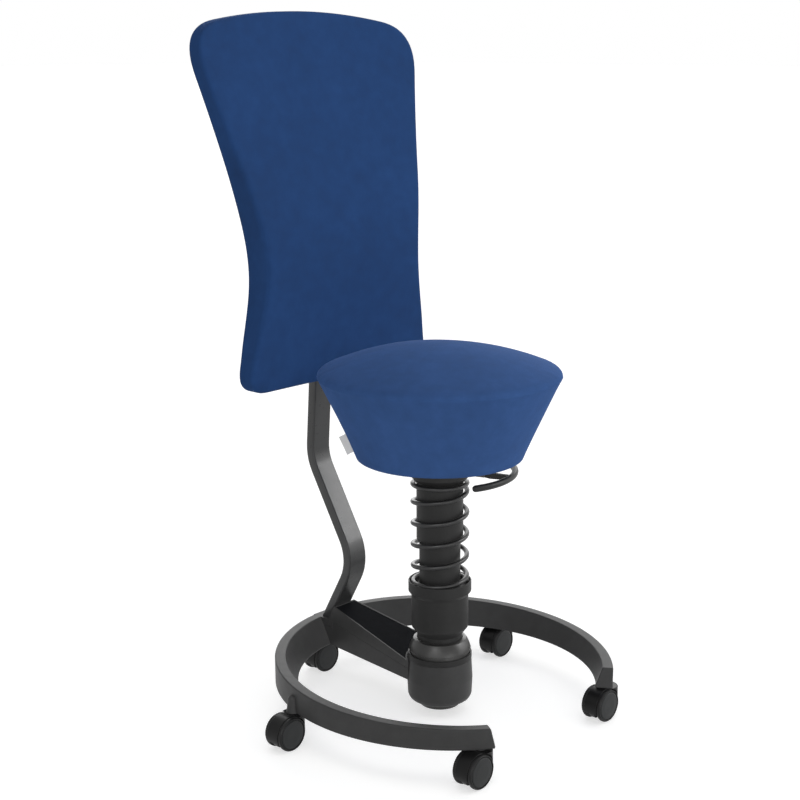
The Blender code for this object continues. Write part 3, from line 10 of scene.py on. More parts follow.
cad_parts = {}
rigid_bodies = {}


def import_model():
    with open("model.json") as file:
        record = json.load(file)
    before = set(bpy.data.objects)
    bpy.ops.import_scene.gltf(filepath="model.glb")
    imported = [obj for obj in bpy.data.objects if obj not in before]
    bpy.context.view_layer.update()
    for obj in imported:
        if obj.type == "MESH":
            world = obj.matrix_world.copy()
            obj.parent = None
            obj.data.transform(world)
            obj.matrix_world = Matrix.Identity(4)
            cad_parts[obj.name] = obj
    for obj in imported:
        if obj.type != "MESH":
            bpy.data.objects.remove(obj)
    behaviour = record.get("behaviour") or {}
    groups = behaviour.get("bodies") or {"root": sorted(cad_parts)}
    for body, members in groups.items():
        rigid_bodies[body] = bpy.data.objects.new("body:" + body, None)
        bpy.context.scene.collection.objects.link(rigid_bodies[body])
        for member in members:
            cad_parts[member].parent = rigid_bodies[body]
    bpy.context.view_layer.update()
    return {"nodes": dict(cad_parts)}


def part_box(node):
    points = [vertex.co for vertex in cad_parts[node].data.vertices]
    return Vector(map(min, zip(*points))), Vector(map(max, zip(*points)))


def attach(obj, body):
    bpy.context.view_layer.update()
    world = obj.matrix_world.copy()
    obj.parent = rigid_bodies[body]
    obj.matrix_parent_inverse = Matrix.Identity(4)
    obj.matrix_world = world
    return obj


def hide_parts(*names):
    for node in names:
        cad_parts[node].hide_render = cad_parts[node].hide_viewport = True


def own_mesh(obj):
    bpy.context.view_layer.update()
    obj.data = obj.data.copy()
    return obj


for old in list(bpy.data.objects):
    bpy.data.objects.remove(old, do_unlink=True)

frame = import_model()

# Lengths are in metres. Heights and radii are about the column axis, azimuths in degrees from the
# front (-Y), positive towards +X. Corners of turned outlines are (radius, height, rounding).
hub_low, hub_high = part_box("hub_pot")
AXIS = Vector(((hub_low.x + hub_high.x) / 2.0, (hub_low.y + hub_high.y) / 2.0, 0.0))
SHARP = math.radians(40.0)
CLOTH_SHARP = math.radians(60.0)
LABEL_SHARP = math.radians(50.0)


def polar(radius, azimuth, z):
    """Point at a radius and azimuth about the column axis."""
    a = math.radians(azimuth)
    return AXIS + Vector((radius * math.sin(a), -radius * math.cos(a), z))


# Materials
MOTTLE = 0.12               # share by which a coat's colour varies
MOTTLE_SCALE = 34.0
GLOSS_COARSE = 90.0
GLOSS_FINE = 700.0
GLOSS_VARIES = 0.09
GRAIN_STRENGTH = 0.35
THREAD = 0.0009             # pitch of the cloth's threads
CLOUD_COARSE = 9.0
CLOUD_FINE = 46.0
FIBRE_SCALE = 1500.0
CLOUD_SHARE = 0.42          # shares of the cloth's tone
FIBRE_SHARE = 0.16
WEAVE_SHARE = 0.05
WEAVE_HEIGHT = 0.6          # threads against fibres in the cloth's relief
CLOTH_STRENGTH = 0.3
CLOTH_DEPTH = 0.00025
CLOTH_SPECULAR = 0.1
SHEEN_ROUGHNESS = 0.45
SHEEN_LIFT = 4.0


def new_material(name):
    material = bpy.data.materials.new(name)
    material.use_nodes = True
    tree = material.node_tree
    return material, tree, tree.nodes["Principled BSDF"]


def add_node(tree, kind, **inputs):
    """Node with its inputs set by name."""
    node = tree.nodes.new(kind)
    for key, value in inputs.items():
        node.inputs[key].default_value = value
    return node


def math_node(tree, operation, a, b=None):
    node = tree.nodes.new("ShaderNodeMath")
    node.operation = operation
    for socket, value in zip(node.inputs, (a, b)):
        if value is None:
            continue
        if isinstance(value, (int, float)):
            socket.default_value = value
        else:
            tree.links.new(value, socket)
    return node.outputs[0]


def noise(tree, coordinates, scale, detail=2.0, rough=0.5):
    node = add_node(tree, "ShaderNodeTexNoise", Scale=scale, Detail=detail, Roughness=rough)
    tree.links.new(coordinates, node.inputs["Vector"])
    return node.outputs["Fac"]


def ramp(tree, factor, stops):
    """Colour ramp through (place, colour) stops."""
    node = tree.nodes.new("ShaderNodeValToRGB")
    while len(node.color_ramp.elements) < len(stops):
        node.color_ramp.elements.new(1.0)
    for element, (place, colour) in zip(node.color_ramp.elements, stops):
        element.position = place
        element.color = (*colour, 1.0)
    tree.links.new(factor, node.inputs["Fac"])
    return node.outputs["Color"]


def spread(tree, factor, low, high):
    """Maps a factor of 0 to 1 onto a range."""
    node = tree.nodes.new("ShaderNodeMapRange")
    node.inputs["To Min"].default_value = low
    node.inputs["To Max"].default_value = high
    tree.links.new(factor, node.inputs["Value"])
    return node.outputs["Result"]


def shade(colour, share):
    return tuple(c * share for c in colour)


def bump(tree, bsdf, height, strength, distance):
    node = add_node(tree, "ShaderNodeBump", Strength=strength, Distance=distance)
    tree.links.new(height, node.inputs["Height"])
    tree.links.new(node.outputs["Normal"], bsdf.inputs["Normal"])


def surface(name, colour, rough, grain, depth, metallic=0.0, specular=0.5):
    """Coated metal or moulded plastic: fine grain, uneven gloss and a little uneven colour."""
    material, tree, bsdf = new_material(name)
    place = tree.nodes.new("ShaderNodeTexCoord").outputs["Object"]
    cloud = noise(tree, place, MOTTLE_SCALE, 4.0, 0.6)
    stops = [(0.3, shade(colour, 1.0 - MOTTLE)), (0.7, shade(colour, 1.0 + MOTTLE))]
    tree.links.new(ramp(tree, cloud, stops), bsdf.inputs["Base Color"])
    coarse = noise(tree, place, GLOSS_COARSE, 3.0)
    fine = noise(tree, place, GLOSS_FINE, 1.0)
    gloss = math_node(tree, "MULTIPLY", math_node(tree, "ADD", coarse, fine), 0.5)
    gloss = spread(tree, gloss, rough - GLOSS_VARIES, rough + GLOSS_VARIES)
    tree.links.new(gloss, bsdf.inputs["Roughness"])
    bsdf.inputs["Metallic"].default_value = metallic
    bsdf.inputs["Specular IOR Level"].default_value = specular
    bump(tree, bsdf, noise(tree, place, grain, 2.0), GRAIN_STRENGTH, depth)
    return material


def cloth(name, colour, sheen, nap):
    """Short-napped woven cover: threads from the UV map, cloudy nap, soft sheen."""
    material, tree, bsdf = new_material(name)
    coords = tree.nodes.new("ShaderNodeTexCoord")
    place = coords.outputs["Object"]
    parts = tree.nodes.new("ShaderNodeSeparateXYZ")
    tree.links.new(coords.outputs["UV"], parts.inputs["Vector"])
    turn = 2.0 * math.pi / THREAD
    warp = math_node(tree, "SINE", math_node(tree, "MULTIPLY", parts.outputs["X"], turn))
    weft = math_node(tree, "SINE", math_node(tree, "MULTIPLY", parts.outputs["Y"], turn))
    weave = math_node(tree, "MULTIPLY", warp, weft)
    weave = math_node(tree, "ADD", math_node(tree, "MULTIPLY", weave, 0.5), 0.5)
    coarse = noise(tree, place, CLOUD_COARSE, 5.0, 0.62)
    fine = noise(tree, place, CLOUD_FINE, 4.0, 0.6)
    cloud = math_node(tree, "ADD", coarse, fine)
    fibre = noise(tree, place, FIBRE_SCALE, 3.0, 0.7)
    tone = math_node(tree, "ADD", math_node(tree, "MULTIPLY", cloud, CLOUD_SHARE),
                     math_node(tree, "MULTIPLY", fibre, FIBRE_SHARE))
    tone = math_node(tree, "ADD", tone, math_node(tree, "MULTIPLY", weave, WEAVE_SHARE))
    stops = [(0.34, shade(colour, 1.0 - nap)), (0.53, colour), (0.72, shade(colour, 1.0 + nap))]
    tree.links.new(ramp(tree, tone, stops), bsdf.inputs["Base Color"])
    tree.links.new(spread(tree, cloud, 0.72, 0.95), bsdf.inputs["Roughness"])
    bsdf.inputs["Specular IOR Level"].default_value = CLOTH_SPECULAR
    bsdf.inputs["Sheen Weight"].default_value = sheen
    bsdf.inputs["Sheen Roughness"].default_value = SHEEN_ROUGHNESS
    tint = [min(1.0, c * SHEEN_LIFT) for c in colour]
    bsdf.inputs["Sheen Tint"].default_value = (*tint, 1.0)
    height = math_node(tree, "ADD", math_node(tree, "MULTIPLY", weave, WEAVE_HEIGHT), fibre)
    bump(tree, bsdf, height, CLOTH_STRENGTH, CLOTH_DEPTH)
    return material


COAT = surface("anthracite_coat", (0.029, 0.029, 0.0292), 0.50, 1500.0, 0.00009, specular=0.2)
BAR_COAT = surface("bar_coat", (0.020, 0.0204, 0.0208), 0.30, 1500.0, 0.00009, specular=0.38)
BLACK = surface("black_moulding", (0.0145, 0.0145, 0.0144), 0.48, 1900.0, 0.0001, specular=0.17)
DOME = surface("rubbery_dome", (0.0135, 0.0132, 0.0127), 0.34, 1500.0, 0.00009, specular=0.42)
TREAD = surface("castor_tread", (0.004, 0.004, 0.0042), 0.42, 1300.0, 0.00008, specular=0.2)
HOOD = surface("castor_hood", (0.0025, 0.0025, 0.0026), 0.36, 1600.0, 0.00006, specular=0.16)
DISC = surface("castor_disc", (0.0130, 0.0138, 0.0143), 0.42, 1700.0, 0.0001, specular=0.18)
RUBBER = surface("dark_rubber", (0.005, 0.0055, 0.0068), 0.8, 1100.0, 0.00015, specular=0.03)
SPRING = surface("spring_coat", (0.008, 0.008, 0.0083), 0.32, 1200.0, 0.00008, specular=0.42)
GREY_COAT = surface("lever_coat", (0.011, 0.0112, 0.0114), 0.42, 1300.0, 0.0001, specular=0.2)
STEEL = surface("turned_steel", (0.42, 0.42, 0.43), 0.3, 900.0, 0.00005, metallic=1.0)
DARK_STEEL = surface("blackened_steel", (0.05, 0.05, 0.052), 0.35, 900.0, 0.00006, metallic=0.7)
SEAT_BLUE = cloth("seat_nap", (0.0285, 0.0700, 0.1920), 0.15, 0.18)
# The backrest's cover is the seat's cloth in a darker colour: painted shade, for a panel that the
# lamps light more strongly than the seat.
SHADED_BACK_BLUE = cloth("back_nap_painted_shade", (0.0126, 0.0406, 0.1255), 0.10, 0.20)
LABEL = cloth("label_weave", (0.52, 0.52, 0.515), 0.1, 0.08)

# Meshes
CAP_STEPS = ((0.4, 0.92), (0.75, 0.66), (0.95, 0.3))    # past a bar's end and its width, in radii
WELD = 0.00002
BEVEL_SEGMENTS = 2
BEVEL_ANGLE = math.radians(34.0)


def crisp(obj):
    """Keeps flat faces flat beside their rounded edges."""
    weighted = obj.modifiers.new("crisp", "WEIGHTED_NORMAL")
    weighted.keep_sharp = True


def make_piece(name, mesh, materials, body, replaced=(), soft=False):
    """Piece that rides on a CAD body."""
    obj = bpy.data.objects.new(name, mesh)
    bpy.context.scene.collection.objects.link(obj)
    for material in materials:
        mesh.materials.append(material)
    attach(obj, body)
    if replaced:
        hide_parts(*replaced)
    if not soft:
        crisp(obj)
    return obj


def mesh_from(name, verts, faces, uvs=None, sharp=SHARP, marks=None):
    """Smooth mesh; uvs is one pair per face corner, marks one material number per face."""
    mesh = bpy.data.meshes.new(name)
    mesh.from_pydata([tuple(v) for v in verts], [], faces)
    if uvs:
        layer = mesh.uv_layers.new(name="threads")
        flat = [c for face in uvs for pair in face for c in pair]
        layer.data.foreach_set("uv", flat)
    if marks:
        mesh.polygons.foreach_set("material_index", marks)
    mesh.shade_smooth()
    mesh.set_sharp_from_angle(angle=sharp)
    return mesh


def outward(mesh, weld=0.0):
    """Turns all faces of a closed mesh outward, with points within weld joined first."""
    bm = bmesh.new()
    bm.from_mesh(mesh)
    if weld:
        bmesh.ops.remove_doubles(bm, verts=bm.verts, dist=weld)
    bmesh.ops.recalc_face_normals(bm, faces=bm.faces)
    bm.to_mesh(mesh)
    bm.free()
    return mesh


def carved(mesh, cutters):
    """Mesh with the cutters taken away."""
    objects = [bpy.data.objects.new("carving", m) for m in [mesh] + cutters]
    for obj in objects:
        bpy.context.scene.collection.objects.link(obj)
    for cutter in objects[1:]:
        cut = objects[0].modifiers.new("cut", "BOOLEAN")
        cut.operation = "DIFFERENCE"
        cut.solver = "EXACT"
        cut.object = cutter
    bpy.context.view_layer.update()
    graph = bpy.context.evaluated_depsgraph_get()
    result = bpy.data.meshes.new_from_object(objects[0].evaluated_get(graph))
    for obj in objects:
        bpy.data.objects.remove(obj, do_unlink=True)
    result.shade_smooth()
    result.set_sharp_from_angle(angle=SHARP)
    return result


def fillet(corners, closed=False, steps=4):
    """Outline through (a, b, radius) corners, each rounded by its radius."""
    outline = []
    last = len(corners) - 1
    for i, (a, b, radius) in enumerate(corners):
        here = Vector((a, b))
        if radius == 0.0 or (not closed and i in (0, last)):
            outline.append(here)
            continue
        to_before = Vector(corners[i - 1][:2]) - here
        to_after = Vector(corners[(i + 1) % len(corners)][:2]) - here
        room = 0.49 * min(to_before.length, to_after.length)
        to_before.normalize()
        to_after.normalize()
        half = to_before.angle(to_after) / 2.0
        reach = min(radius / math.tan(half), room)
        centre = here + (to_before + to_after).normalized() * reach / math.cos(half)
        first = here + to_before * reach - centre
        spin = math.pi - 2.0 * half
        if to_before.cross(to_after) > 0.0:
            spin = -spin
        for k in range(steps + 1):
            outline.append(centre + Matrix.Rotation(spin * k / steps, 2) @ first)
    return outline


def grid_faces(rows, columns):
    """Quads over a grid of points that is stored row by row; each row is a closed loop."""
    faces = []
    for i in range(rows - 1):
        for j in range(columns):
            k = (j + 1) % columns
            low = i * columns
            high = low + columns
            faces.append((low + j, low + k, high + k, high + j))
    return faces


def capped_faces(rows, columns):
    """Quads over a grid, with a face over its first and last row."""
    faces = grid_faces(rows, columns)
    faces.append(tuple(reversed(range(columns))))
    faces.append(tuple(range((rows - 1) * columns, rows * columns)))
    return faces


def lathe(name, outline, segments=96, centre=AXIS, marks=None, closed=False):
    """Mesh turned about Z from (radius, height) points; open outlines end on the axis."""
    verts = []
    faces = []
    kinds = []
    rings = []
    for r, z in outline:
        if r < 1e-6:
            rings.append([len(verts)])
            verts.append(centre + Vector((0.0, 0.0, z)))
            continue
        rings.append(range(len(verts), len(verts) + segments))
        for j in range(segments):
            a = 2.0 * math.pi * j / segments
            verts.append(centre + Vector((r * math.sin(a), -r * math.cos(a), z)))
    pairs = list(zip(rings, rings[1:]))
    if closed:
        pairs.append((rings[-1], rings[0]))
    for index, (low, high) in enumerate(pairs):
        for j in range(segments):
            k = (j + 1) % segments
            if len(low) == 1:
                face = (low[0], high[k], high[j])
            elif len(high) == 1:
                face = (low[j], low[k], high[0])
            else:
                face = (low[j], low[k], high[k], high[j])
            faces.append(face)
            kinds.append(marks[index] if marks else 0)
    return mesh_from(name, verts, faces, marks=kinds if marks else None)


def swept(name, path, radius, sides):
    """Round bar along a list of points, with rounded ends."""
    points = [Vector(p) for p in path]
    lead = (points[0] - points[1]).normalized()
    tail = (points[-1] - points[-2]).normalized()
    stations = [(points[0] + lead * radius * a, radius * b) for a, b in reversed(CAP_STEPS)]
    stations += [(p, radius) for p in points]
    stations += [(points[-1] + tail * radius * a, radius * b) for a, b in CAP_STEPS]
    verts = []
    across = None
    for i, (p, r) in enumerate(stations):
        ahead = stations[min(i + 1, len(stations) - 1)][0] - stations[max(i - 1, 0)][0]
        ahead.normalize()
        if across is None:
            across = ahead.orthogonal().normalized()
        across = (across - ahead * across.dot(ahead)).normalized()
        other = ahead.cross(across)
        for j in range(sides):
            a = 2.0 * math.pi * j / sides
            verts.append(p + r * (math.cos(a) * across + math.sin(a) * other))
    return mesh_from(name, verts, capped_faces(len(stations), sides))


def smooth_cad(nodes, material, width, flat=180.0):
    """CAD nodes that stay: welded, edges rounded by width, creases over flat degrees crisp."""
    for node in nodes:
        obj = frame["nodes"][node]
        obj.data.materials.clear()
        obj.data.materials.append(material)
        obj.data.shade_smooth()
        obj.data.set_sharp_from_angle(angle=math.radians(flat))
        weld = obj.modifiers.new("weld", "WELD")
        weld.merge_threshold = WELD
        if width:
            bevel = obj.modifiers.new("edges", "BEVEL")
            bevel.width = width
            bevel.segments = BEVEL_SEGMENTS
            bevel.limit_method = "ANGLE"
            bevel.angle_limit = BEVEL_ANGLE
        crisp(obj)


# Base ring: an ellipse in plan, open at the front, with a notch at the rear for the backrest's foot
RING_HALF_X = 0.2502
RING_HALF_Y = 0.263
RING_CENTRE_Y = -0.007
RING_TOP_Z = 0.0879
RING_TOP_SLOPE = 0.0259
RING_BOTTOM_Z = 0.0516
RING_TOP_WIDTH = 0.016
RING_FOOT_WIDTH = 0.026
RING_REAR_WIDENING = 0.012
RING_END_AZ = 33.0
RING_END_LEAN = 1.6
RING_END_SHRINK = 0.0015
RING_END_PUSH = 0.0012
RING_STATIONS = 180
RING_ROUND = 0.0022
NOTCH_HALF = 0.0228
NOTCH_Z = 0.0825
NOTCH_CLEAR = 0.3                           # degrees beside its edges without even stations
NOTCH_LIP = ((0.12, 0.0), (0.02, 0.0008))   # degrees beside an edge, depth under the top


def ring_radius(azimuth):
    s = math.sin(math.radians(azimuth)) / RING_HALF_X
    c = math.cos(math.radians(azimuth)) / RING_HALF_Y
    shift = RING_CENTRE_Y / RING_HALF_Y
    a = s * s + c * c
    b = c * shift
    return (-b + math.sqrt(b * b - a * (shift * shift - 1.0))) / a


def ring_top(azimuth):
    return RING_TOP_Z - RING_TOP_SLOPE * ring_radius(azimuth) * math.cos(math.radians(azimuth))


def ring_section(azimuth, top, shrink):
    """Rounded section as (radius, height) points."""
    out = ring_radius(azimuth)
    rear = (1.0 - math.cos(math.radians(azimuth))) / 2.0
    foot = RING_FOOT_WIDTH + RING_REAR_WIDENING * rear
    share = (top - RING_BOTTOM_Z) / (ring_top(azimuth) - RING_BOTTOM_Z)
    inner = out - foot + (foot - RING_TOP_WIDTH) * share
    low = RING_BOTTOM_Z + shrink
    corners = [
        (out - shrink, low, RING_ROUND), (out - shrink, top - shrink, RING_ROUND),
        (inner + shrink, top - shrink, RING_ROUND), (out - foot + shrink, low, RING_ROUND),
    ]
    return fillet(corners, closed=True, steps=5)


notch_az = math.degrees(math.asin(NOTCH_HALF / ring_radius(180.0)))
stations = []
for i in range(RING_STATIONS + 1):
    azimuth = RING_END_AZ + (360.0 - 2.0 * RING_END_AZ) * i / RING_STATIONS
    if abs(azimuth - 180.0) > notch_az + NOTCH_CLEAR:
        stations.append((azimuth, ring_top(azimuth)))
    elif abs(azimuth - 180.0) < notch_az - NOTCH_CLEAR:
        stations.append((azimuth, NOTCH_Z))
for side in (-1.0, 1.0):
    edge = 180.0 + side * notch_az
    for beside, depth in NOTCH_LIP:
        stations.append((edge + side * beside, ring_top(edge) - depth))
    stations.append((edge, NOTCH_Z))
stations.sort()
sections = [(*stations[0], RING_END_SHRINK)]
sections += [(azimuth, top, 0.0) for azimuth, top in stations]
sections += [(*stations[-1], RING_END_SHRINK)]
ring_verts = []
for azimuth, top, shrink in sections:
    ring_outline = ring_section(azimuth, top, shrink)
    lean = 0.0
    if azimuth < RING_END_AZ + 0.01:
        lean = -RING_END_LEAN
    elif azimuth > 360.0 - RING_END_AZ - 0.01:
        lean = RING_END_LEAN
    push = math.degrees(RING_END_PUSH / RING_HALF_X) if shrink else 0.0
    push = -push if azimuth < 180.0 else push
    for r, z in ring_outline:
        low_share = 1.0 - (z - RING_BOTTOM_Z) / (top - RING_BOTTOM_Z)
        ring_verts.append(polar(r, azimuth + lean * low_share + push, z))
ring_mesh = mesh_from("ring", ring_verts, capped_faces(len(sections), len(ring_outline)))
make_piece("base_ring_body", ring_mesh, [COAT], "base", ["base_ring"])

# Castors: bosses on the ring, hoods from three shapes each, turned wheels
CASTORS = 5
CASTOR_FIRST_AZ = 36.0
CASTOR_CIRCLE = 0.2514
CASTOR_CENTRE_Y = -0.004
WHEEL_RADIUS = 0.025
WHEEL_WIDTH = 0.0125
WHEEL_FACE = 0.0045
WHEEL_NECK = 0.0205
WHEEL_COVERED = 0.0070
WHEEL_SEGMENTS = 72
DISC_RADIUS = 0.0213
DISC_DEPTH = 0.0018
BOSS_FOOT_Z = 0.0508
BOSS_SEGMENTS = 48
AXLE_Z = WHEEL_RADIUS
TRAIL = 0.0155
HOOD_TOP_Z = 0.0496
HOOD_FOOT_Z = 0.020
HOOD_RADIUS = 0.0175
HOOD_IN = 0.0217
HOOD_OUT = 0.0256
HOOD_HALF = 0.0111
HOOD_FRONT_ANGLE = 25.0
HOOD_REAR_ANGLE = 203.0
HOOD_STEPS = 44
HOOD_CLEAR = 0.0003
STEM_HOLE = 0.0041
STEM_HOLE_Z = 0.0381
WEB_HALF = 0.0041
WEB_FLOOR = 0.007
ARCH = 0.0261
ROOM_END = 0.03
LIE_DOWN = Matrix.Rotation(-math.pi / 2.0, 4, "X")
boss_outline = fillet([
    (0.0, BOSS_FOOT_Z, 0.0), (0.0092, BOSS_FOOT_Z, 0.0006), (0.0066, 0.0725, 0.006),
    (0.0040, 0.0768, 0.003), (0.0, 0.0770, 0.0),
])
face = WHEEL_WIDTH
wheel_outline = fillet([
    (0.0, 0.0008, 0.0), (0.0140, 0.0008, 0.0004), (0.0145, 0.0, 0.0004),
    (WHEEL_NECK, 0.0, 0.0005), (WHEEL_NECK, WHEEL_COVERED, 0.0005),
    (WHEEL_RADIUS, WHEEL_COVERED, 0.0008), (WHEEL_RADIUS, face - 0.0018, 0.0016),
    (0.0238, face, 0.0006), (0.0223, face, 0.0005),
    (0.0219, face - 0.0016, 0.0003), (0.0212, face - 0.0016, 0.0003),
    (0.0208, face - 0.0004, 0.0005), (0.0192, face + 0.0003, 0.001),
    (0.0120, face + 0.0008, 0.006), (0.0, face + 0.0009, 0.0),
], steps=3)
wheel_marks = [int(r < DISC_RADIUS and z > face - DISC_DEPTH) for r, z in wheel_outline[:-1]]


def about_axle(radius, angle, y):
    """Point round the castor's axle, from the stem's foot; the angle is 90 degrees at the top."""
    a = math.radians(angle)
    return Vector((radius * math.cos(a) - TRAIL, y, radius * math.sin(a) + AXLE_Z))


def hood_barrel():
    """Curved cover over the inner parts of both wheels."""
    section = fillet([
        (HOOD_IN, -HOOD_HALF, 0.0004), (HOOD_OUT, -HOOD_HALF, 0.0009),
        (HOOD_OUT, HOOD_HALF, 0.0009), (HOOD_IN, HOOD_HALF, 0.0004),
    ], closed=True)
    verts = []
    for i in range(HOOD_STEPS + 1):
        angle = HOOD_REAR_ANGLE + (HOOD_FRONT_ANGLE - HOOD_REAR_ANGLE) * i / HOOD_STEPS
        verts += [about_axle(r, angle, y) for r, y in section]
    return outward(mesh_from("hood_barrel", verts, capped_faces(HOOD_STEPS + 1, len(section))))


def hood_web():
    """Plate between the wheels, cut off level above the floor."""
    rim = (HOOD_IN + HOOD_OUT) / 2.0
    cut = math.degrees(math.acos((AXLE_Z - WEB_FLOOR) / rim))
    span = 2.0 * cut - 360.0
    angles = [270.0 - cut + span * i / HOOD_STEPS for i in range(HOOD_STEPS + 1)]
    verts = [about_axle(rim, angle, y) for y in (-WEB_HALF, WEB_HALF) for angle in angles]
    return outward(mesh_from("hood_web", verts, capped_faces(2, len(angles))))


def hood_boss():
    """Round block under the ring, cut clear of the wheels."""
    block = lathe("hood_boss", fillet([
        (0.0, HOOD_FOOT_Z, 0.0), (HOOD_RADIUS, HOOD_FOOT_Z, 0.0006),
        (HOOD_RADIUS, HOOD_TOP_Z, 0.0012), (STEM_HOLE, HOOD_TOP_Z, 0.0),
        (STEM_HOLE, STEM_HOLE_Z, 0.0), (0.0, STEM_HOLE_Z, 0.0),
    ]), WHEEL_SEGMENTS, Vector())
    near = WHEEL_FACE - HOOD_CLEAR
    room = [
        (0.0, near), (HOOD_IN, near), (HOOD_IN, HOOD_HALF),
        (ARCH, HOOD_HALF), (ARCH, ROOM_END), (0.0, ROOM_END),
    ]
    to_axle = Matrix.Translation((-TRAIL, 0.0, AXLE_Z))
    cutters = []
    for side in (0.0, math.pi):
        cutter = lathe("wheel_room", room, WHEEL_SEGMENTS, Vector())
        cutter.transform(to_axle @ Matrix.Rotation(side, 4, "Z") @ LIE_DOWN)
        cutters.append(cutter)
    return carved(block, cutters)


hood_shapes = {"barrel": hood_barrel(), "web": hood_web(), "boss": hood_boss()}
for index in range(1, CASTORS + 1):
    azimuth = CASTOR_FIRST_AZ + 360.0 / CASTORS * (index - 1)
    stem = polar(CASTOR_CIRCLE, azimuth, 0.0) + Vector((0.0, CASTOR_CENTRE_Y, 0.0))
    boss = lathe(f"boss_{index}", boss_outline, BOSS_SEGMENTS, stem)
    make_piece(f"ring_boss_{index}", boss, [COAT], "base")
    for end, turn in (("front", Matrix.Rotation(math.pi, 4, "Z") @ LIE_DOWN), ("rear", LIE_DOWN)):
        node = f"castor_wheel_{index}_{end}"
        low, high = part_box(node)
        axle = Vector(((low.x + high.x) / 2.0, stem.y, (low.z + high.z) / 2.0))
        out = Vector((0.0, 0.0, WHEEL_FACE))
        wheel = lathe(node, wheel_outline, WHEEL_SEGMENTS, out, wheel_marks)
        wheel.transform(Matrix.Translation(axle) @ turn)
        make_piece(f"wheel_{index}_{end}_turned", wheel, [TREAD, DISC], f"wheel_{index}_{end}",
                   [node])
    for part, shape in hood_shapes.items():
        copy = shape.copy()
        copy.transform(Matrix.Translation(stem))
        replaced = [f"castor_hood_{index}"] if part == "barrel" else []
        make_piece(f"hood_{index}_{part}", copy, [HOOD], f"castor_{index}", replaced)
smooth_cad([f"castor_stem_{i}" for i in range(1, CASTORS + 1)], DARK_STEEL, 0.0003)
smooth_cad([f"castor_axle_{i}" for i in range(1, CASTORS + 1)], STEEL, 0.0003)

# Arm, backrest foot and bar
smooth_cad(["base_arm", "backrest_foot"], COAT, 0.0008, flat=7.0)
smooth_cad(["foot_inlay"], RUBBER, 0.0004)
smooth_cad(["backrest_bar"], BAR_COAT, 0.0006, flat=25.0)

# Hub and column
NUBS = 3
NUB_CIRCLE = 0.0225
NUB_FIRST_AZ = -27.0
NUB_SEGMENTS = 24
PIVOT_Z = 0.0895
DOME_RADIUS = 0.0485
DOME_SKIRT = 0.0457
DOME_INSIDE = 0.0444
DOME_EDGE_Z = 0.0922
DOME_GROOVE_Z = 0.0990
DOME_SHOULDER_Z = 0.1162
DOME_TOP_Z = 0.1177
DOME_ROUND = 0.0009


def turned(name, outline, material, body, node, closed=False):
    """Piece turned about the column axis in place of a CAD node."""
    make_piece(name, lathe(name, outline, closed=closed), [material], body, [node])


def on_ball(radius, low, high, steps, edge=0.0):
    """Corners on a ball about the tilt pivot, from one height to another, rounded at the ends."""
    points = []
    for i in range(steps + 1):
        z = low + (high - low) * i / steps
        r = math.sqrt(radius * radius - (z - PIVOT_Z) ** 2)
        points.append((r, z, edge if i in (0, steps) else 0.0))
    return points


pot = fillet([
    (0.0, 0.0180, 0.0), (0.038, 0.0180, 0.004), (0.0458, 0.0212, 0.006), (0.0490, 0.0275, 0.009),
    (0.0502, 0.054, 0.03), (0.0484, 0.0850, 0.0007), (0.040, 0.0850, 0.0004), (0.040, 0.030, 0.0),
    (0.0, 0.030, 0.0),
], steps=6)
turned("hub_pot_turned", pot, COAT, "base", "hub_pot")
cap = fillet([
    (0.0, 0.0177, 0.0), (0.0368, 0.0177, 0.0003), (0.030, 0.0095, 0.0014), (0.0, 0.0095, 0.0),
])
turned("hub_cap_turned", cap, BLACK, "base", "hub_bottom_cap")
nub = fillet([
    (0.0, 0.0110, 0.0), (0.0022, 0.0110, 0.0), (0.0022, 0.0070, 0.0006), (0.0, 0.0070, 0.0),
])
for i in range(NUBS):
    place = polar(NUB_CIRCLE, NUB_FIRST_AZ + 360.0 / NUBS * i, 0.0)
    nub_mesh = lathe("nub", nub, NUB_SEGMENTS, place)
    make_piece(f"hub_cap_nub_{i + 1}", nub_mesh, [BLACK], "base")
collar = fillet([
    (0.0488, 0.0853, 0.0007), (0.0488, 0.0940, 0.0008), (0.0464, 0.0940, 0.0005),
    (0.0464, 0.0868, 0.0), (0.040, 0.0868, 0.0), (0.040, 0.0853, 0.0),
], closed=True)
turned("hub_collar_turned", collar, BLACK, "base", "hub_collar", closed=True)
dome = on_ball(DOME_SKIRT, DOME_EDGE_Z, DOME_GROOVE_Z, 4)
dome += on_ball(DOME_RADIUS, DOME_GROOVE_Z, DOME_SHOULDER_Z, 12, DOME_ROUND)
dome += [
    (0.0375, DOME_TOP_Z, 0.0012), (0.0348, DOME_TOP_Z, 0.0004), (0.0348, DOME_TOP_Z - 0.0015, 0.0),
]
dome += on_ball(DOME_INSIDE, DOME_TOP_Z - 0.0028, DOME_EDGE_Z, 8)
turned("boot_dome_turned", fillet(dome, closed=True), DOME, "column", "boot_dome", closed=True)
cup = fillet([
    (0.0, 0.112, 0.0), (0.0345, 0.112, 0.0), (0.0345, 0.1246, 0.003), (0.0432, 0.1362, 0.004),
    (0.0432, 0.187, 0.003), (0.0478, 0.193, 0.0012), (0.0478, 0.209, 0.0009),
    (0.0457, 0.209, 0.0005), (0.0457, 0.2025, 0.0006), (0.0314, 0.2025, 0.0), (0.0314, 0.130, 0.0),
    (0.0, 0.130, 0.0),
])
turned("spring_cup_turned", cup, BLACK, "column", "spring_cup")
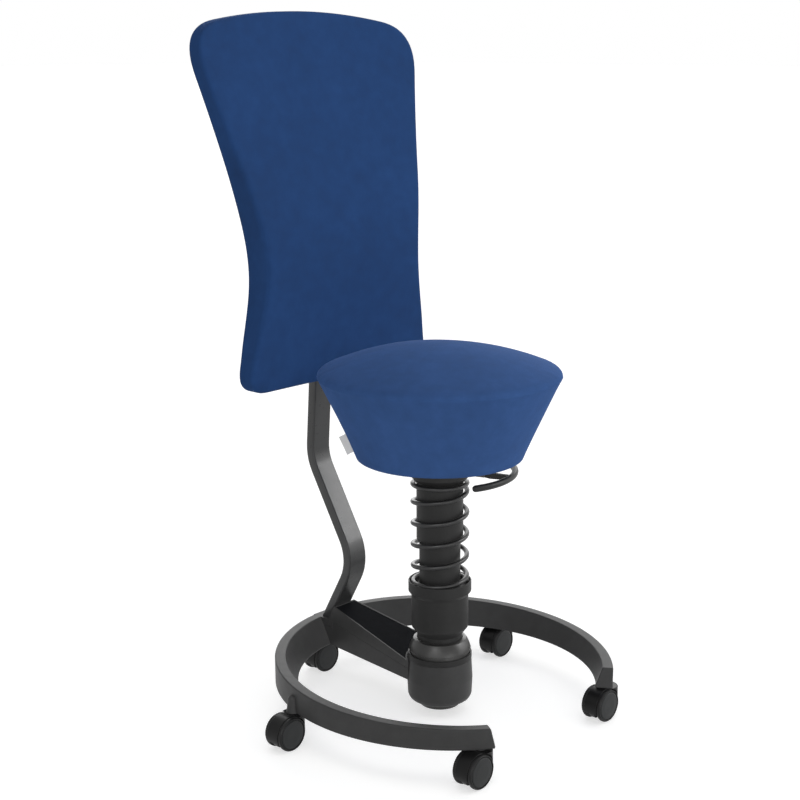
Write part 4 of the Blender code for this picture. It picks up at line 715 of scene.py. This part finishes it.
turned_tubes = (
    ("lower_tube", "column", [
        (0.0311, 0.1303, 0.0), (0.0311, 0.318, 0.0006), (0.029, 0.318, 0.0004),
        (0.029, 0.1303, 0.0)]),
    ("upper_tube", "carrier", [
        (0.0340, 0.2739, 0.0004), (0.0352, 0.2751, 0.0008), (0.0352, 0.378, 0.0),
        (0.0331, 0.378, 0.0), (0.0331, 0.2739, 0.0004)]),
    ("upper_spring_cup", "carrier", [
        (0.0144, 0.3783, 0.0), (0.0355, 0.3783, 0.0), (0.0355, 0.363, 0.0006),
        (0.044, 0.3725, 0.0012), (0.044, 0.3858, 0.0008), (0.042, 0.3878, 0.0008),
        (0.0144, 0.3878, 0.0)]),
)
for node, body, corners in turned_tubes:
    tube = outward(lathe(node, fillet(corners, closed=True), closed=True))
    make_piece(f"{node}_turned", tube, [BLACK], body, [node])
smooth_cad(["guide_bush", "rubber_buffer"], RUBBER, 0.0)
smooth_cad([
    "ball_seat", "pivot_ball", "column_stud", "lift_tube", "piston_rod", "gas_cylinder",
    "valve_button", "lever_pin",
], STEEL, 0.0)
smooth_cad(["lever_bracket"], DARK_STEEL, 0.0003)
smooth_cad(["seat_plate"], COAT, 0.0006)

# Coil spring: one smooth wire
WIRE = 0.00365
WIRE_SIDES = 14
COIL_RADIUS = 0.0407
COIL_PITCH = 0.0333
COIL_MARK_AZ = -138.2       # the free coil passes this azimuth at the height below
COIL_MARK_Z = 0.2326
COIL_BOTTOM_Z = 0.20645
COIL_TOP_Z = 0.3614
COIL_EASE = 0.004           # height over which it flattens to its ends
COIL_START_AZ = -678.0
COIL_END_AZ = 1490.0
COIL_TURN_POINTS = 40


def coil_height(azimuth):
    free = COIL_MARK_Z + COIL_PITCH * (azimuth - COIL_MARK_AZ) / 360.0
    up = COIL_BOTTOM_Z + COIL_EASE * math.log1p(math.exp((free - COIL_BOTTOM_Z) / COIL_EASE))
    return COIL_TOP_Z - COIL_EASE * math.log1p(math.exp((COIL_TOP_Z - up) / COIL_EASE))


coil_sweep = COIL_END_AZ - COIL_START_AZ
coil_count = round(coil_sweep / 360.0 * COIL_TURN_POINTS)
coil_path = []
for i in range(coil_count + 1):
    azimuth = COIL_START_AZ + coil_sweep * i / coil_count
    coil_path.append(polar(COIL_RADIUS, azimuth, coil_height(azimuth)))
coil_mesh = swept("coil_wire", coil_path, WIRE, WIRE_SIDES)
coil = make_piece("coil_wire", coil_mesh, [SPRING], "column", ["coil_spring"],
                  soft=True)
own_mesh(coil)

# Seat cushion
UNDER, SIDE, PIPING, CROWN = range(4)       # what a point of the seat's outline belongs to
SEAT_BOTTOM_Z = 0.401
SEAT_BOTTOM_RADIUS = 0.1235
SEAT_RECESS_RADIUS = 0.0636
SEAT_RECESS_Z = 0.4226
SEAT_RIM_Z = 0.5264
SEAT_RIM_RADIUS = 0.181
SEAT_CROWN_Z = 0.571
SEAT_CROWN_CURVE = 0.92
SEAT_CROWN_STEPS = 22
SEAT_SIDE_FROM = 0.016
SEAT_SIDE_TO = 0.972
SEAT_SIDE_STEPS = 26
SEAT_WAIST = 0.0014
SEAT_COLUMNS = 168
SEAT_WELD = 0.000005
SEAM_DEPTH = 0.0011
SEAM_WIDTH = 0.0009
SEAM_DEGREES = (-2.6, -1.6, -0.9, -0.45, -0.18, 0.0, 0.18, 0.45, 0.9, 1.6, 2.6)
SIDE_PUCKER = 0.00035
SIDE_PUCKER_REACH = 0.016
SIDE_WAVE = 0.0005
CROWN_PUCKER = 0.0003
CROWN_PUCKER_REACH = 0.02
CROWN_WAVE = 0.0006
CROWN_CALM = 0.01           # no puckers or waves inside this radius
SEAT_UV_RADIUS = 0.15
TAG_AZ = -126.0
side_run = SEAT_RIM_RADIUS - SEAT_BOTTOM_RADIUS
side_rise = SEAT_RIM_Z - SEAT_BOTTOM_Z
side_length = math.hypot(side_run, side_rise)


def seat_side_radius(t):
    """Radius of the seat's side at a share of its height."""
    return SEAT_BOTTOM_RADIUS + side_run * t - SEAT_WAIST * math.sin(math.pi * t)


def seat_profile():
    """Outline of the seat as (radius, height, kind), from its recess by the rim to the crown."""
    points = [
        (0.0, SEAT_RECESS_Z, UNDER), (SEAT_RECESS_RADIUS, SEAT_RECESS_Z, UNDER),
        (SEAT_RECESS_RADIUS, 0.4016, UNDER), (0.068, SEAT_BOTTOM_Z, UNDER),
        (0.100, SEAT_BOTTOM_Z, UNDER), (0.1185, SEAT_BOTTOM_Z, UNDER),
        (0.1215, SEAT_BOTTOM_Z + 0.0002, UNDER), (0.1229, SEAT_BOTTOM_Z + 0.0009, SIDE),
    ]
    for i in range(SEAT_SIDE_STEPS + 1):
        t = SEAT_SIDE_FROM + (SEAT_SIDE_TO - SEAT_SIDE_FROM) * i / SEAT_SIDE_STEPS
        points.append((seat_side_radius(t), SEAT_BOTTOM_Z + side_rise * t, SIDE))
    r, z = SEAT_RIM_RADIUS, SEAT_RIM_Z
    points += [
        (r - 0.0004, z - 0.0015, SIDE), (r - 0.0004, z - 0.0006, PIPING),
        (r - 0.0008, z + 0.0001, PIPING), (r - 0.0007, z + 0.0008, PIPING),
        (r - 0.0011, z + 0.0024, CROWN), (r - 0.0032, z + 0.0052, CROWN),
    ]
    edge_r, edge_z = r - 0.0066, z + 0.0078
    for i in range(SEAT_CROWN_STEPS):
        share = (1.0 - i / SEAT_CROWN_STEPS) ** SEAT_CROWN_CURVE
        rise = (SEAT_CROWN_Z - edge_z) * (1.0 - share * share)
        points.append((edge_r * share, edge_z + rise, CROWN))
    points.append((0.0, SEAT_CROWN_Z, CROWN))
    return points


def seat_azimuths():
    """Azimuths round the seat, close together at the side seam."""
    even = [TAG_AZ + 360.0 * i / SEAT_COLUMNS for i in range(2, SEAT_COLUMNS - 1)]
    return sorted([TAG_AZ + d for d in SEAM_DEGREES] + even)


def side_offset(azimuth, r, z):
    """How far the side's cover moves outward: seam, puckers under the rim and slow waves."""
    a = math.radians(azimuth)
    near = math.radians(azimuth - TAG_AZ) * r / SEAM_WIDTH
    to_rim = (SEAT_RIM_Z - z) / SIDE_PUCKER_REACH
    middle = math.sin(math.pi * (z - SEAT_BOTTOM_Z) / side_rise)
    off = -SEAM_DEPTH * math.exp(-near * near)
    off -= SIDE_PUCKER * math.exp(-to_rim) * math.sin(58.0 * a + 3.0 * math.sin(5.0 * a))
    return off + SIDE_WAVE * math.sin(3.0 * a + 40.0 * z) * middle


def crown_offset(azimuth, r):
    """How far the crown's cover moves upward: puckers inside the rim and slow waves."""
    a = math.radians(azimuth)
    in_rim = (SEAT_RIM_RADIUS - r) / CROWN_PUCKER_REACH
    middle = math.sin(math.pi * r / SEAT_RIM_RADIUS) ** 2
    rise = CROWN_PUCKER * math.exp(-in_rim) * math.sin(61.0 * a + 2.0 * math.sin(7.0 * a))
    return rise + CROWN_WAVE * math.sin(2.0 * a + 1.0) * middle


def seat_mesh():
    profile = seat_profile()
    azimuths = seat_azimuths()
    count = len(azimuths)
    verts = []
    uv_rows = []
    length = 0.0
    for i, (r, z, kind) in enumerate(profile):
        if i:
            length += math.hypot(r - profile[i - 1][0], z - profile[i - 1][1])
        uv_rows.append(length)
        for azimuth in azimuths:
            off = side_offset(azimuth, r, z) if kind == SIDE else 0.0
            rise = crown_offset(azimuth, r) if kind == CROWN and r > CROWN_CALM else 0.0
            verts.append(polar(r + off, azimuth, z + rise))
    uvs = []
    for v0, v1 in zip(uv_rows, uv_rows[1:]):
        for j in range(count):
            k = (j + 1) % count
            u0 = math.radians(azimuths[j]) * SEAT_UV_RADIUS
            u1 = math.radians(azimuths[k] + (360.0 if k == 0 else 0.0)) * SEAT_UV_RADIUS
            uvs.append([(u0, v0), (u1, v0), (u1, v1), (u0, v1)])
    faces = grid_faces(len(profile), count)
    return outward(mesh_from("seat_cover", verts, faces, uvs, CLOTH_SHARP), SEAT_WELD)


seat = make_piece("seat_cover", seat_mesh(), [SEAT_BLUE], "seat", ["seat_cushion"],
                  soft=True)

# Blank sewn label: one thick woven strip that hangs from the seat's side seam
TAG_LENGTH = 0.030
TAG_WIDTH = 0.0105
TAG_HALF_THICK = 0.00042
TAG_SEWN_IN = 0.0006
TAG_EDGE = 0.0004
TAG_LOW_Z = 0.4157
TAG_CURL = 0.0012
TAG_ROWS = 9
TAG_COLUMNS = 8


def seat_side_point(azimuth, z, out):
    """Point at a distance out from the seat's side, square to its slope."""
    r = seat_side_radius((z - SEAT_BOTTOM_Z) / side_rise)
    slope = side_run / side_length
    return polar(r + out * side_rise / side_length, azimuth, z - out * slope)


tag_across = polar(1.0, TAG_AZ + 90.0, 0.0) - AXIS
tag_outs = [TAG_WIDTH * i / (TAG_COLUMNS - 1.0) - TAG_SEWN_IN for i in range(TAG_COLUMNS)]
tag_outline = [(out, -TAG_HALF_THICK) for out in tag_outs]
for i in range(1, 4):
    a = math.pi * i / 4.0
    tag_outline.append((TAG_WIDTH - TAG_SEWN_IN + TAG_EDGE * math.sin(a),
                        -TAG_HALF_THICK * math.cos(a)))
tag_outline += [(out, TAG_HALF_THICK) for out in reversed(tag_outs)]
tag_verts = []
for i in range(TAG_ROWS):
    t = i / (TAG_ROWS - 1.0)
    z = TAG_LOW_Z + TAG_LENGTH * side_rise / side_length * t
    for out, aside in tag_outline:
        curl = TAG_CURL * math.sin(math.pi * t + 0.4) * (out / TAG_WIDTH) ** 2
        tag_verts.append(seat_side_point(TAG_AZ, z, out) + tag_across * (aside + curl))
tag_mesh = mesh_from("label", tag_verts, capped_faces(TAG_ROWS, len(tag_outline)),
                     sharp=LABEL_SHARP)
label = make_piece("seat_label", tag_mesh, [LABEL], "seat", ["seat_tag"],
                   soft=True)

# Release lever: round grip bent to an arc; its arm is the CAD node
LEVER_AZ = 20.0
GRIP_CIRCLE = 0.112
GRIP_Z = 0.380
GRIP_HALF_AZ = 41.0
GRIP_STEPS = 48
GRIP_RADIUS = 0.005
GRIP_SIDES = 16
grip_path = []
for i in range(GRIP_STEPS + 1):
    azimuth = LEVER_AZ - GRIP_HALF_AZ + 2.0 * GRIP_HALF_AZ * i / GRIP_STEPS
    grip_path.append(polar(GRIP_CIRCLE, azimuth, GRIP_Z))
grip = swept("lever_grip", grip_path, GRIP_RADIUS, GRIP_SIDES)
make_piece("lever_grip", grip, [GREY_COAT], "lever")
smooth_cad(["release_lever"], GREY_COAT, 0.0004)

# Backrest panel
PANEL_BACK_Y = 0.233
PANEL_DISH = 0.005
PANEL_DISH_HALF = 0.19
PANEL_LEAN_Z = 0.72
PANEL_LEAN_BLEND = 0.10
PANEL_LEAN = 0.17
PANEL_CURL_Z = 0.85
PANEL_CURL = 0.22
PANEL_THICK = 0.0255
PANEL_LUMBAR = 0.024
PANEL_LUMBAR_Z = 0.70
PANEL_LUMBAR_SPAN = 0.17
PANEL_TOP_Z = 1.047
PANEL_ARCH = 0.50
PANEL_KNOTS = (             # (height, half width)
    (0.4925, 0.1935), (0.558, 0.1805), (0.672, 0.1620), (0.800, 0.1810), (1.022, 0.2345),
)
PANEL_FOOT_ROUND = 0.040
PANEL_SHOULDER_ROUND = 0.070
PANEL_MIDDLE = Vector((0.0, 0.74))
KNOT_STEPS = 12
FOOT_STEPS = 14
SHOULDER_STEPS = 16
TOP_STEPS = 14
PAD_BACK_INSET = 0.0042
PAD_FRONT_INSET = 0.0100
PAD_EDGE = (                # (inset, share of the thickness), from the back to the front
    (0.0022, 0.02), (0.0009, 0.06), (0.0002, 0.12), (0.0, 0.2), (0.0, 0.32), (0.0001, 0.46),
    (0.0, 0.60), (0.0, 0.72), (0.0, 0.81), (0.0005, 0.88), (0.0020, 0.945), (0.0048, 0.985),
    (PAD_FRONT_INSET, 1.0),
)
PAD_CROWN = 0.002
BACK_SHARES = (0.15, 0.35, 0.6, 0.82)
FRONT_SHARES = (0.93, 0.85, 0.76, 0.66, 0.55, 0.44, 0.33, 0.22, 0.11)
SHELL_INSET = 0.008
SHELL_THICK = 0.0044
SHELL_EDGE = 0.0016
FIT = 0.0003
UV_SLANT = 0.7              # gives the panel's sides a place in the UV map


def lean_of(z):
    over = z - PANEL_LEAN_Z
    if over <= -PANEL_LEAN_BLEND:
        return 0.0
    if over >= PANEL_LEAN_BLEND:
        return PANEL_LEAN * over + PANEL_CURL * max(0.0, z - PANEL_CURL_Z) ** 2
    return PANEL_LEAN * (over + PANEL_LEAN_BLEND) ** 2 / (4.0 * PANEL_LEAN_BLEND)


def panel_back(x, z):
    return PANEL_BACK_Y + lean_of(z) + PANEL_DISH * (1.0 - (x / PANEL_DISH_HALF) ** 2)


def panel_thick(z):
    lumbar = math.exp(-((z - PANEL_LUMBAR_Z) / PANEL_LUMBAR_SPAN) ** 2)
    return PANEL_THICK + PANEL_LUMBAR * lumbar


def corner_points(before, corner, after, size, steps):
    """Curve round a corner, from size before it to size after it."""
    p0 = corner + (before - corner).normalized() * size
    p2 = corner + (after - corner).normalized() * size
    points = []
    for i in range(steps + 1):
        t = i / steps
        points.append((1 - t) ** 2 * p0 + 2 * t * (1 - t) * corner + t * t * p2)
    return points


def spline_point(a, b, c, d, t):
    """Point between b and c of a curve through a, b, c and d."""
    return b + 0.5 * t * (c - a + t * (2 * a - 5 * b + 4 * c - d + t * (3 * (b - c) + d - a)))


def panel_outline():
    """Outline as (x, z), from the bottom's middle round by the right, top and left."""
    knots = [Vector(k) for k in PANEL_KNOTS]
    chain = [2.0 * knots[0] - knots[1], *knots, 2.0 * knots[-1] - knots[-2]]
    side = []
    for a, b, c, d in zip(chain, chain[1:], chain[2:], chain[3:]):
        side += [spline_point(a, b, c, d, i / KNOT_STEPS) for i in range(KNOT_STEPS)]
    side.append(knots[-1])
    low, high = side[0], side[-1]
    top_start = high[1] - PANEL_SHOULDER_ROUND
    along_top = Vector((PANEL_TOP_Z - PANEL_ARCH * top_start ** 2, top_start))
    bottom_end = low[1] - PANEL_FOOT_ROUND
    half = [Vector((low[0], bottom_end * i / KNOT_STEPS)) for i in range(KNOT_STEPS)]
    half += corner_points(half[0], low, side[3], PANEL_FOOT_ROUND, FOOT_STEPS)
    side_low, side_high = low[0] + PANEL_FOOT_ROUND, high[0] - PANEL_SHOULDER_ROUND
    half += [p for p in side if side_low < p[0] < side_high]
    half += corner_points(side[-4], high, along_top, PANEL_SHOULDER_ROUND, SHOULDER_STEPS)
    start = half[-1][1]
    for i in range(1, TOP_STEPS + 1):
        x = start * (1.0 - i / TOP_STEPS)
        half.append(Vector((PANEL_TOP_Z - PANEL_ARCH * x * x, x)))
    line = [Vector((p[1], p[0])) for p in half]
    return line + [Vector((-p[1], p[0])) for p in half[-2:0:-1]]


def shrunk(line, inset):
    moved = []
    for i, p in enumerate(line):
        along = line[(i + 1) % len(line)] - line[i - 1]
        moved.append(p + Vector((-along[1], along[0])).normalized() * inset)
    return moved


def scaled(line, share):
    return [PANEL_MIDDLE + (p - PANEL_MIDDLE) * share for p in line]


def panel_mesh(name, rings, tips, sharp):
    """Closed body from rings of points with a tip on each face, and a UV map in its plane."""
    verts = [p for ring in rings for p in ring] + list(tips)
    count = len(rings[0])
    faces = grid_faces(len(rings), count)
    first = len(verts) - 2
    last_row = (len(rings) - 1) * count
    for j in range(count):
        k = (j + 1) % count
        faces.append((first, k, j))
        faces.append((first + 1, last_row + j, last_row + k))
    flat = [(p.x + UV_SLANT * p.y, p.z + UV_SLANT * p.y) for p in verts]
    uvs = [[flat[v] for v in f] for f in faces]
    return outward(mesh_from(name, [AXIS + v for v in verts], faces, uvs, sharp))


def panel_points(line, share, crown=0.0):
    """Points of a line at a share of the thickness in front of the panel's back."""
    points = []
    for x, z in line:
        points.append(Vector((x, panel_back(x, z) - panel_thick(z) * share - crown, z)))
    return points


def panel_behind(line, depth):
    """Points of a line at a depth behind the panel's back."""
    return [Vector((x, panel_back(x, z) + depth, z)) for x, z in line]


panel_line = panel_outline()
shell_line = shrunk(panel_line, SHELL_INSET)
pad_rings = [panel_points(scaled(shell_line, s), 0.0) for s in BACK_SHARES]
pad_rings.append(panel_points(shell_line, 0.0))
pad_rings.append(panel_points(shrunk(panel_line, PAD_BACK_INSET), 0.0))
pad_rings += [panel_points(shrunk(panel_line, inset), share) for inset, share in PAD_EDGE]
front_line = shrunk(panel_line, PAD_FRONT_INSET)
for s in FRONT_SHARES:
    pad_rings.append(panel_points(scaled(front_line, s), 1.0, PAD_CROWN * (1.0 - s * s)))
pad_tips = panel_points([PANEL_MIDDLE], 0.0) + panel_points([PANEL_MIDDLE], 1.0, PAD_CROWN)
pad_mesh = panel_mesh("backrest_cover", pad_rings, pad_tips, CLOTH_SHARP)
pad = make_piece("backrest_cover", pad_mesh, [SHADED_BACK_BLUE], "base", ["backrest_cushion"],
                 soft=True)

shell_back = SHELL_THICK + FIT
edge_line = shrunk(shell_line, SHELL_EDGE)
shell_rings = [panel_behind(scaled(shell_line, s), FIT) for s in BACK_SHARES]
shell_rings += [
    panel_behind(shell_line, FIT), panel_behind(shell_line, SHELL_THICK - 0.0014),
    panel_behind(shrunk(shell_line, 0.0005), SHELL_THICK - 0.0003),
    panel_behind(edge_line, shell_back),
]
shell_rings += [panel_behind(scaled(edge_line, s), shell_back) for s in reversed(BACK_SHARES)]
shell_tips = panel_behind([PANEL_MIDDLE], FIT) + panel_behind([PANEL_MIDDLE], shell_back)
shell_mesh = panel_mesh("backrest_shell_formed", shell_rings, shell_tips, SHARP)
make_piece("backrest_shell_formed", shell_mesh, [BLACK], "base", ["backrest_shell"])

# Screws that hold the shell on the bar, seen from behind
SCREW_RADIUS = 0.0055
SCREW_SOCKET = 0.0025
SCREW_SEGMENTS = 48
SCREW_SUNK = 0.0001
SCREWS_BELOW = (0.018, 0.052)       # under the bar's upper end
BAR_END = 0.05
HEX_SIDE = 60.0
screw_outline = fillet([
    (0.0, 0.0, 0.0), (SCREW_RADIUS, 0.0, 0.0), (SCREW_RADIUS, 0.0010, 0.0008),
    (0.0044, 0.0028, 0.0016), (SCREW_SOCKET, 0.0031, 0.0002), (SCREW_SOCKET, 0.0012, 0.0),
    (0.0, 0.0012, 0.0),
])
screw_mesh = lathe("screw", screw_outline, SCREW_SEGMENTS, Vector())
for vert in screw_mesh.vertices:
    flat_radius = math.hypot(vert.co.x, vert.co.y)
    if 0.0 < flat_radius < SCREW_SOCKET + 0.0004 and vert.co.z > 0.0005:
        around = math.degrees(math.atan2(vert.co.y, vert.co.x))
        turn = math.radians(around % HEX_SIDE - HEX_SIDE / 2.0)
        share = math.cos(math.radians(HEX_SIDE / 2.0)) / math.cos(turn)
        vert.co.x *= share
        vert.co.y *= share
bar_low, bar_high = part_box("backrest_bar")
bar_verts = frame["nodes"]["backrest_bar"].data.vertices
bar_rear = max(v.co.y for v in bar_verts if v.co.z > bar_high.z - BAR_END)
bar_middle = (bar_low.x + bar_high.x) / 2.0
for i, below in enumerate(SCREWS_BELOW):
    head = screw_mesh.copy()
    place = Vector((bar_middle, bar_rear - SCREW_SUNK, bar_high.z - below))
    head.transform(Matrix.Translation(place) @ LIE_DOWN)
    make_piece(f"bar_screw_{i + 1}", head, [DARK_STEEL], "base")

# Floor, light and camera
FLOOR_REACH = 60.0
FLOOR_SEEN = 0.955          # colour to the rays that show the background
FLOOR_BOUNCE = 0.6          # colour to the light that it sends back
FLOOR_GLOW = 0.285
WORLD_LIGHT = 0.3
WHITE = (1.0, 1.0, 1.0, 1.0)
SUNS = (                    # name, where it shines, strength, softness in degrees, shadow
    ("top", (-0.1, 0.1, -1.0), 0.45, 60.0, True),
    ("side", (-0.78, 0.62, -0.14), 0.95, 50.0, False),
    ("front", (0.2, 0.95, 0.12), 1.2, 40.0, False),
    ("left", (0.88, 0.46, -0.05), 1.05, 60.0, False),
    ("fill", (0.77, 0.31, -0.56), 0.4, 20.0, False),
    ("back", (-0.745, -0.667, -0.4), 1.2, 50.0, False),
    ("key", (-0.67, 0.585, -0.455), 0.8, 22.0, False),
)
CAMERA = AXIS + Vector((-1.665, -1.489, 0.999))
HEADING = math.radians(48.19)
PITCH = math.radians(12.97)


def seen_rays(tree):
    """1 for the rays that show the background: camera, glossy and transmission."""
    path = tree.nodes.new("ShaderNodeLightPath")
    seen = math_node(tree, "MAXIMUM", path.outputs["Is Camera Ray"], path.outputs["Is Glossy Ray"])
    return math_node(tree, "MAXIMUM", seen, path.outputs["Is Transmission Ray"])


def add_sun(name, towards, strength, softness, shadow):
    """Far, soft light; only the top one and the world cast shadows."""
    light = bpy.data.lights.new(name, "SUN")
    light.energy = strength
    light.angle = math.radians(softness)
    light.use_shadow = shadow
    obj = bpy.data.objects.new(name, light)
    bpy.context.scene.collection.objects.link(obj)
    obj.rotation_mode = "QUATERNION"
    obj.rotation_quaternion = Vector(towards).to_track_quat("-Z", "Y")


floor_corners = [(-1, -1), (1, -1), (1, 1), (-1, 1)]
floor_mesh = bpy.data.meshes.new("floor")
floor_mesh.from_pydata([(FLOOR_REACH * x, FLOOR_REACH * y, 0) for x, y in floor_corners], [],
                       [(0, 1, 2, 3)])
floor = bpy.data.objects.new("floor", floor_mesh)
bpy.context.scene.collection.objects.link(floor)
floor_material, tree, bsdf = new_material("pale_floor")
seen = seen_rays(tree)
tree.links.new(spread(tree, seen, FLOOR_BOUNCE, FLOOR_SEEN), bsdf.inputs["Base Color"])
tree.links.new(spread(tree, seen, 0.0, FLOOR_GLOW), bsdf.inputs["Emission Strength"])
bsdf.inputs["Emission Color"].default_value = WHITE
bsdf.inputs["Roughness"].default_value = 1.0
bsdf.inputs["Specular IOR Level"].default_value = 0.0
floor_mesh.materials.append(floor_material)

world = bpy.data.worlds.new("studio")
bpy.context.scene.world = world
world.use_nodes = True
tree = world.node_tree
background = tree.nodes["Background"]
background.inputs["Color"].default_value = WHITE
tree.links.new(spread(tree, seen_rays(tree), WORLD_LIGHT, 1.0), background.inputs["Strength"])

for sun in SUNS:
    add_sun(*sun)

camera = bpy.data.cameras.new("camera")
camera.lens = 69.94
camera.sensor_width = 36.0
camera.shift_x = -0.0497
camera.shift_y = 0.00218
camera_obj = bpy.data.objects.new("camera", camera)
bpy.context.scene.collection.objects.link(camera_obj)
camera_obj.location = CAMERA
level = math.cos(PITCH)
ahead = Vector((math.sin(HEADING) * level, math.cos(HEADING) * level, -math.sin(PITCH)))
camera_obj.rotation_mode = "QUATERNION"
camera_obj.rotation_quaternion = ahead.to_track_quat("-Z", "Y")
bpy.context.scene.camera = camera_obj
bpy.context.scene.view_settings.view_transform = "Standard"
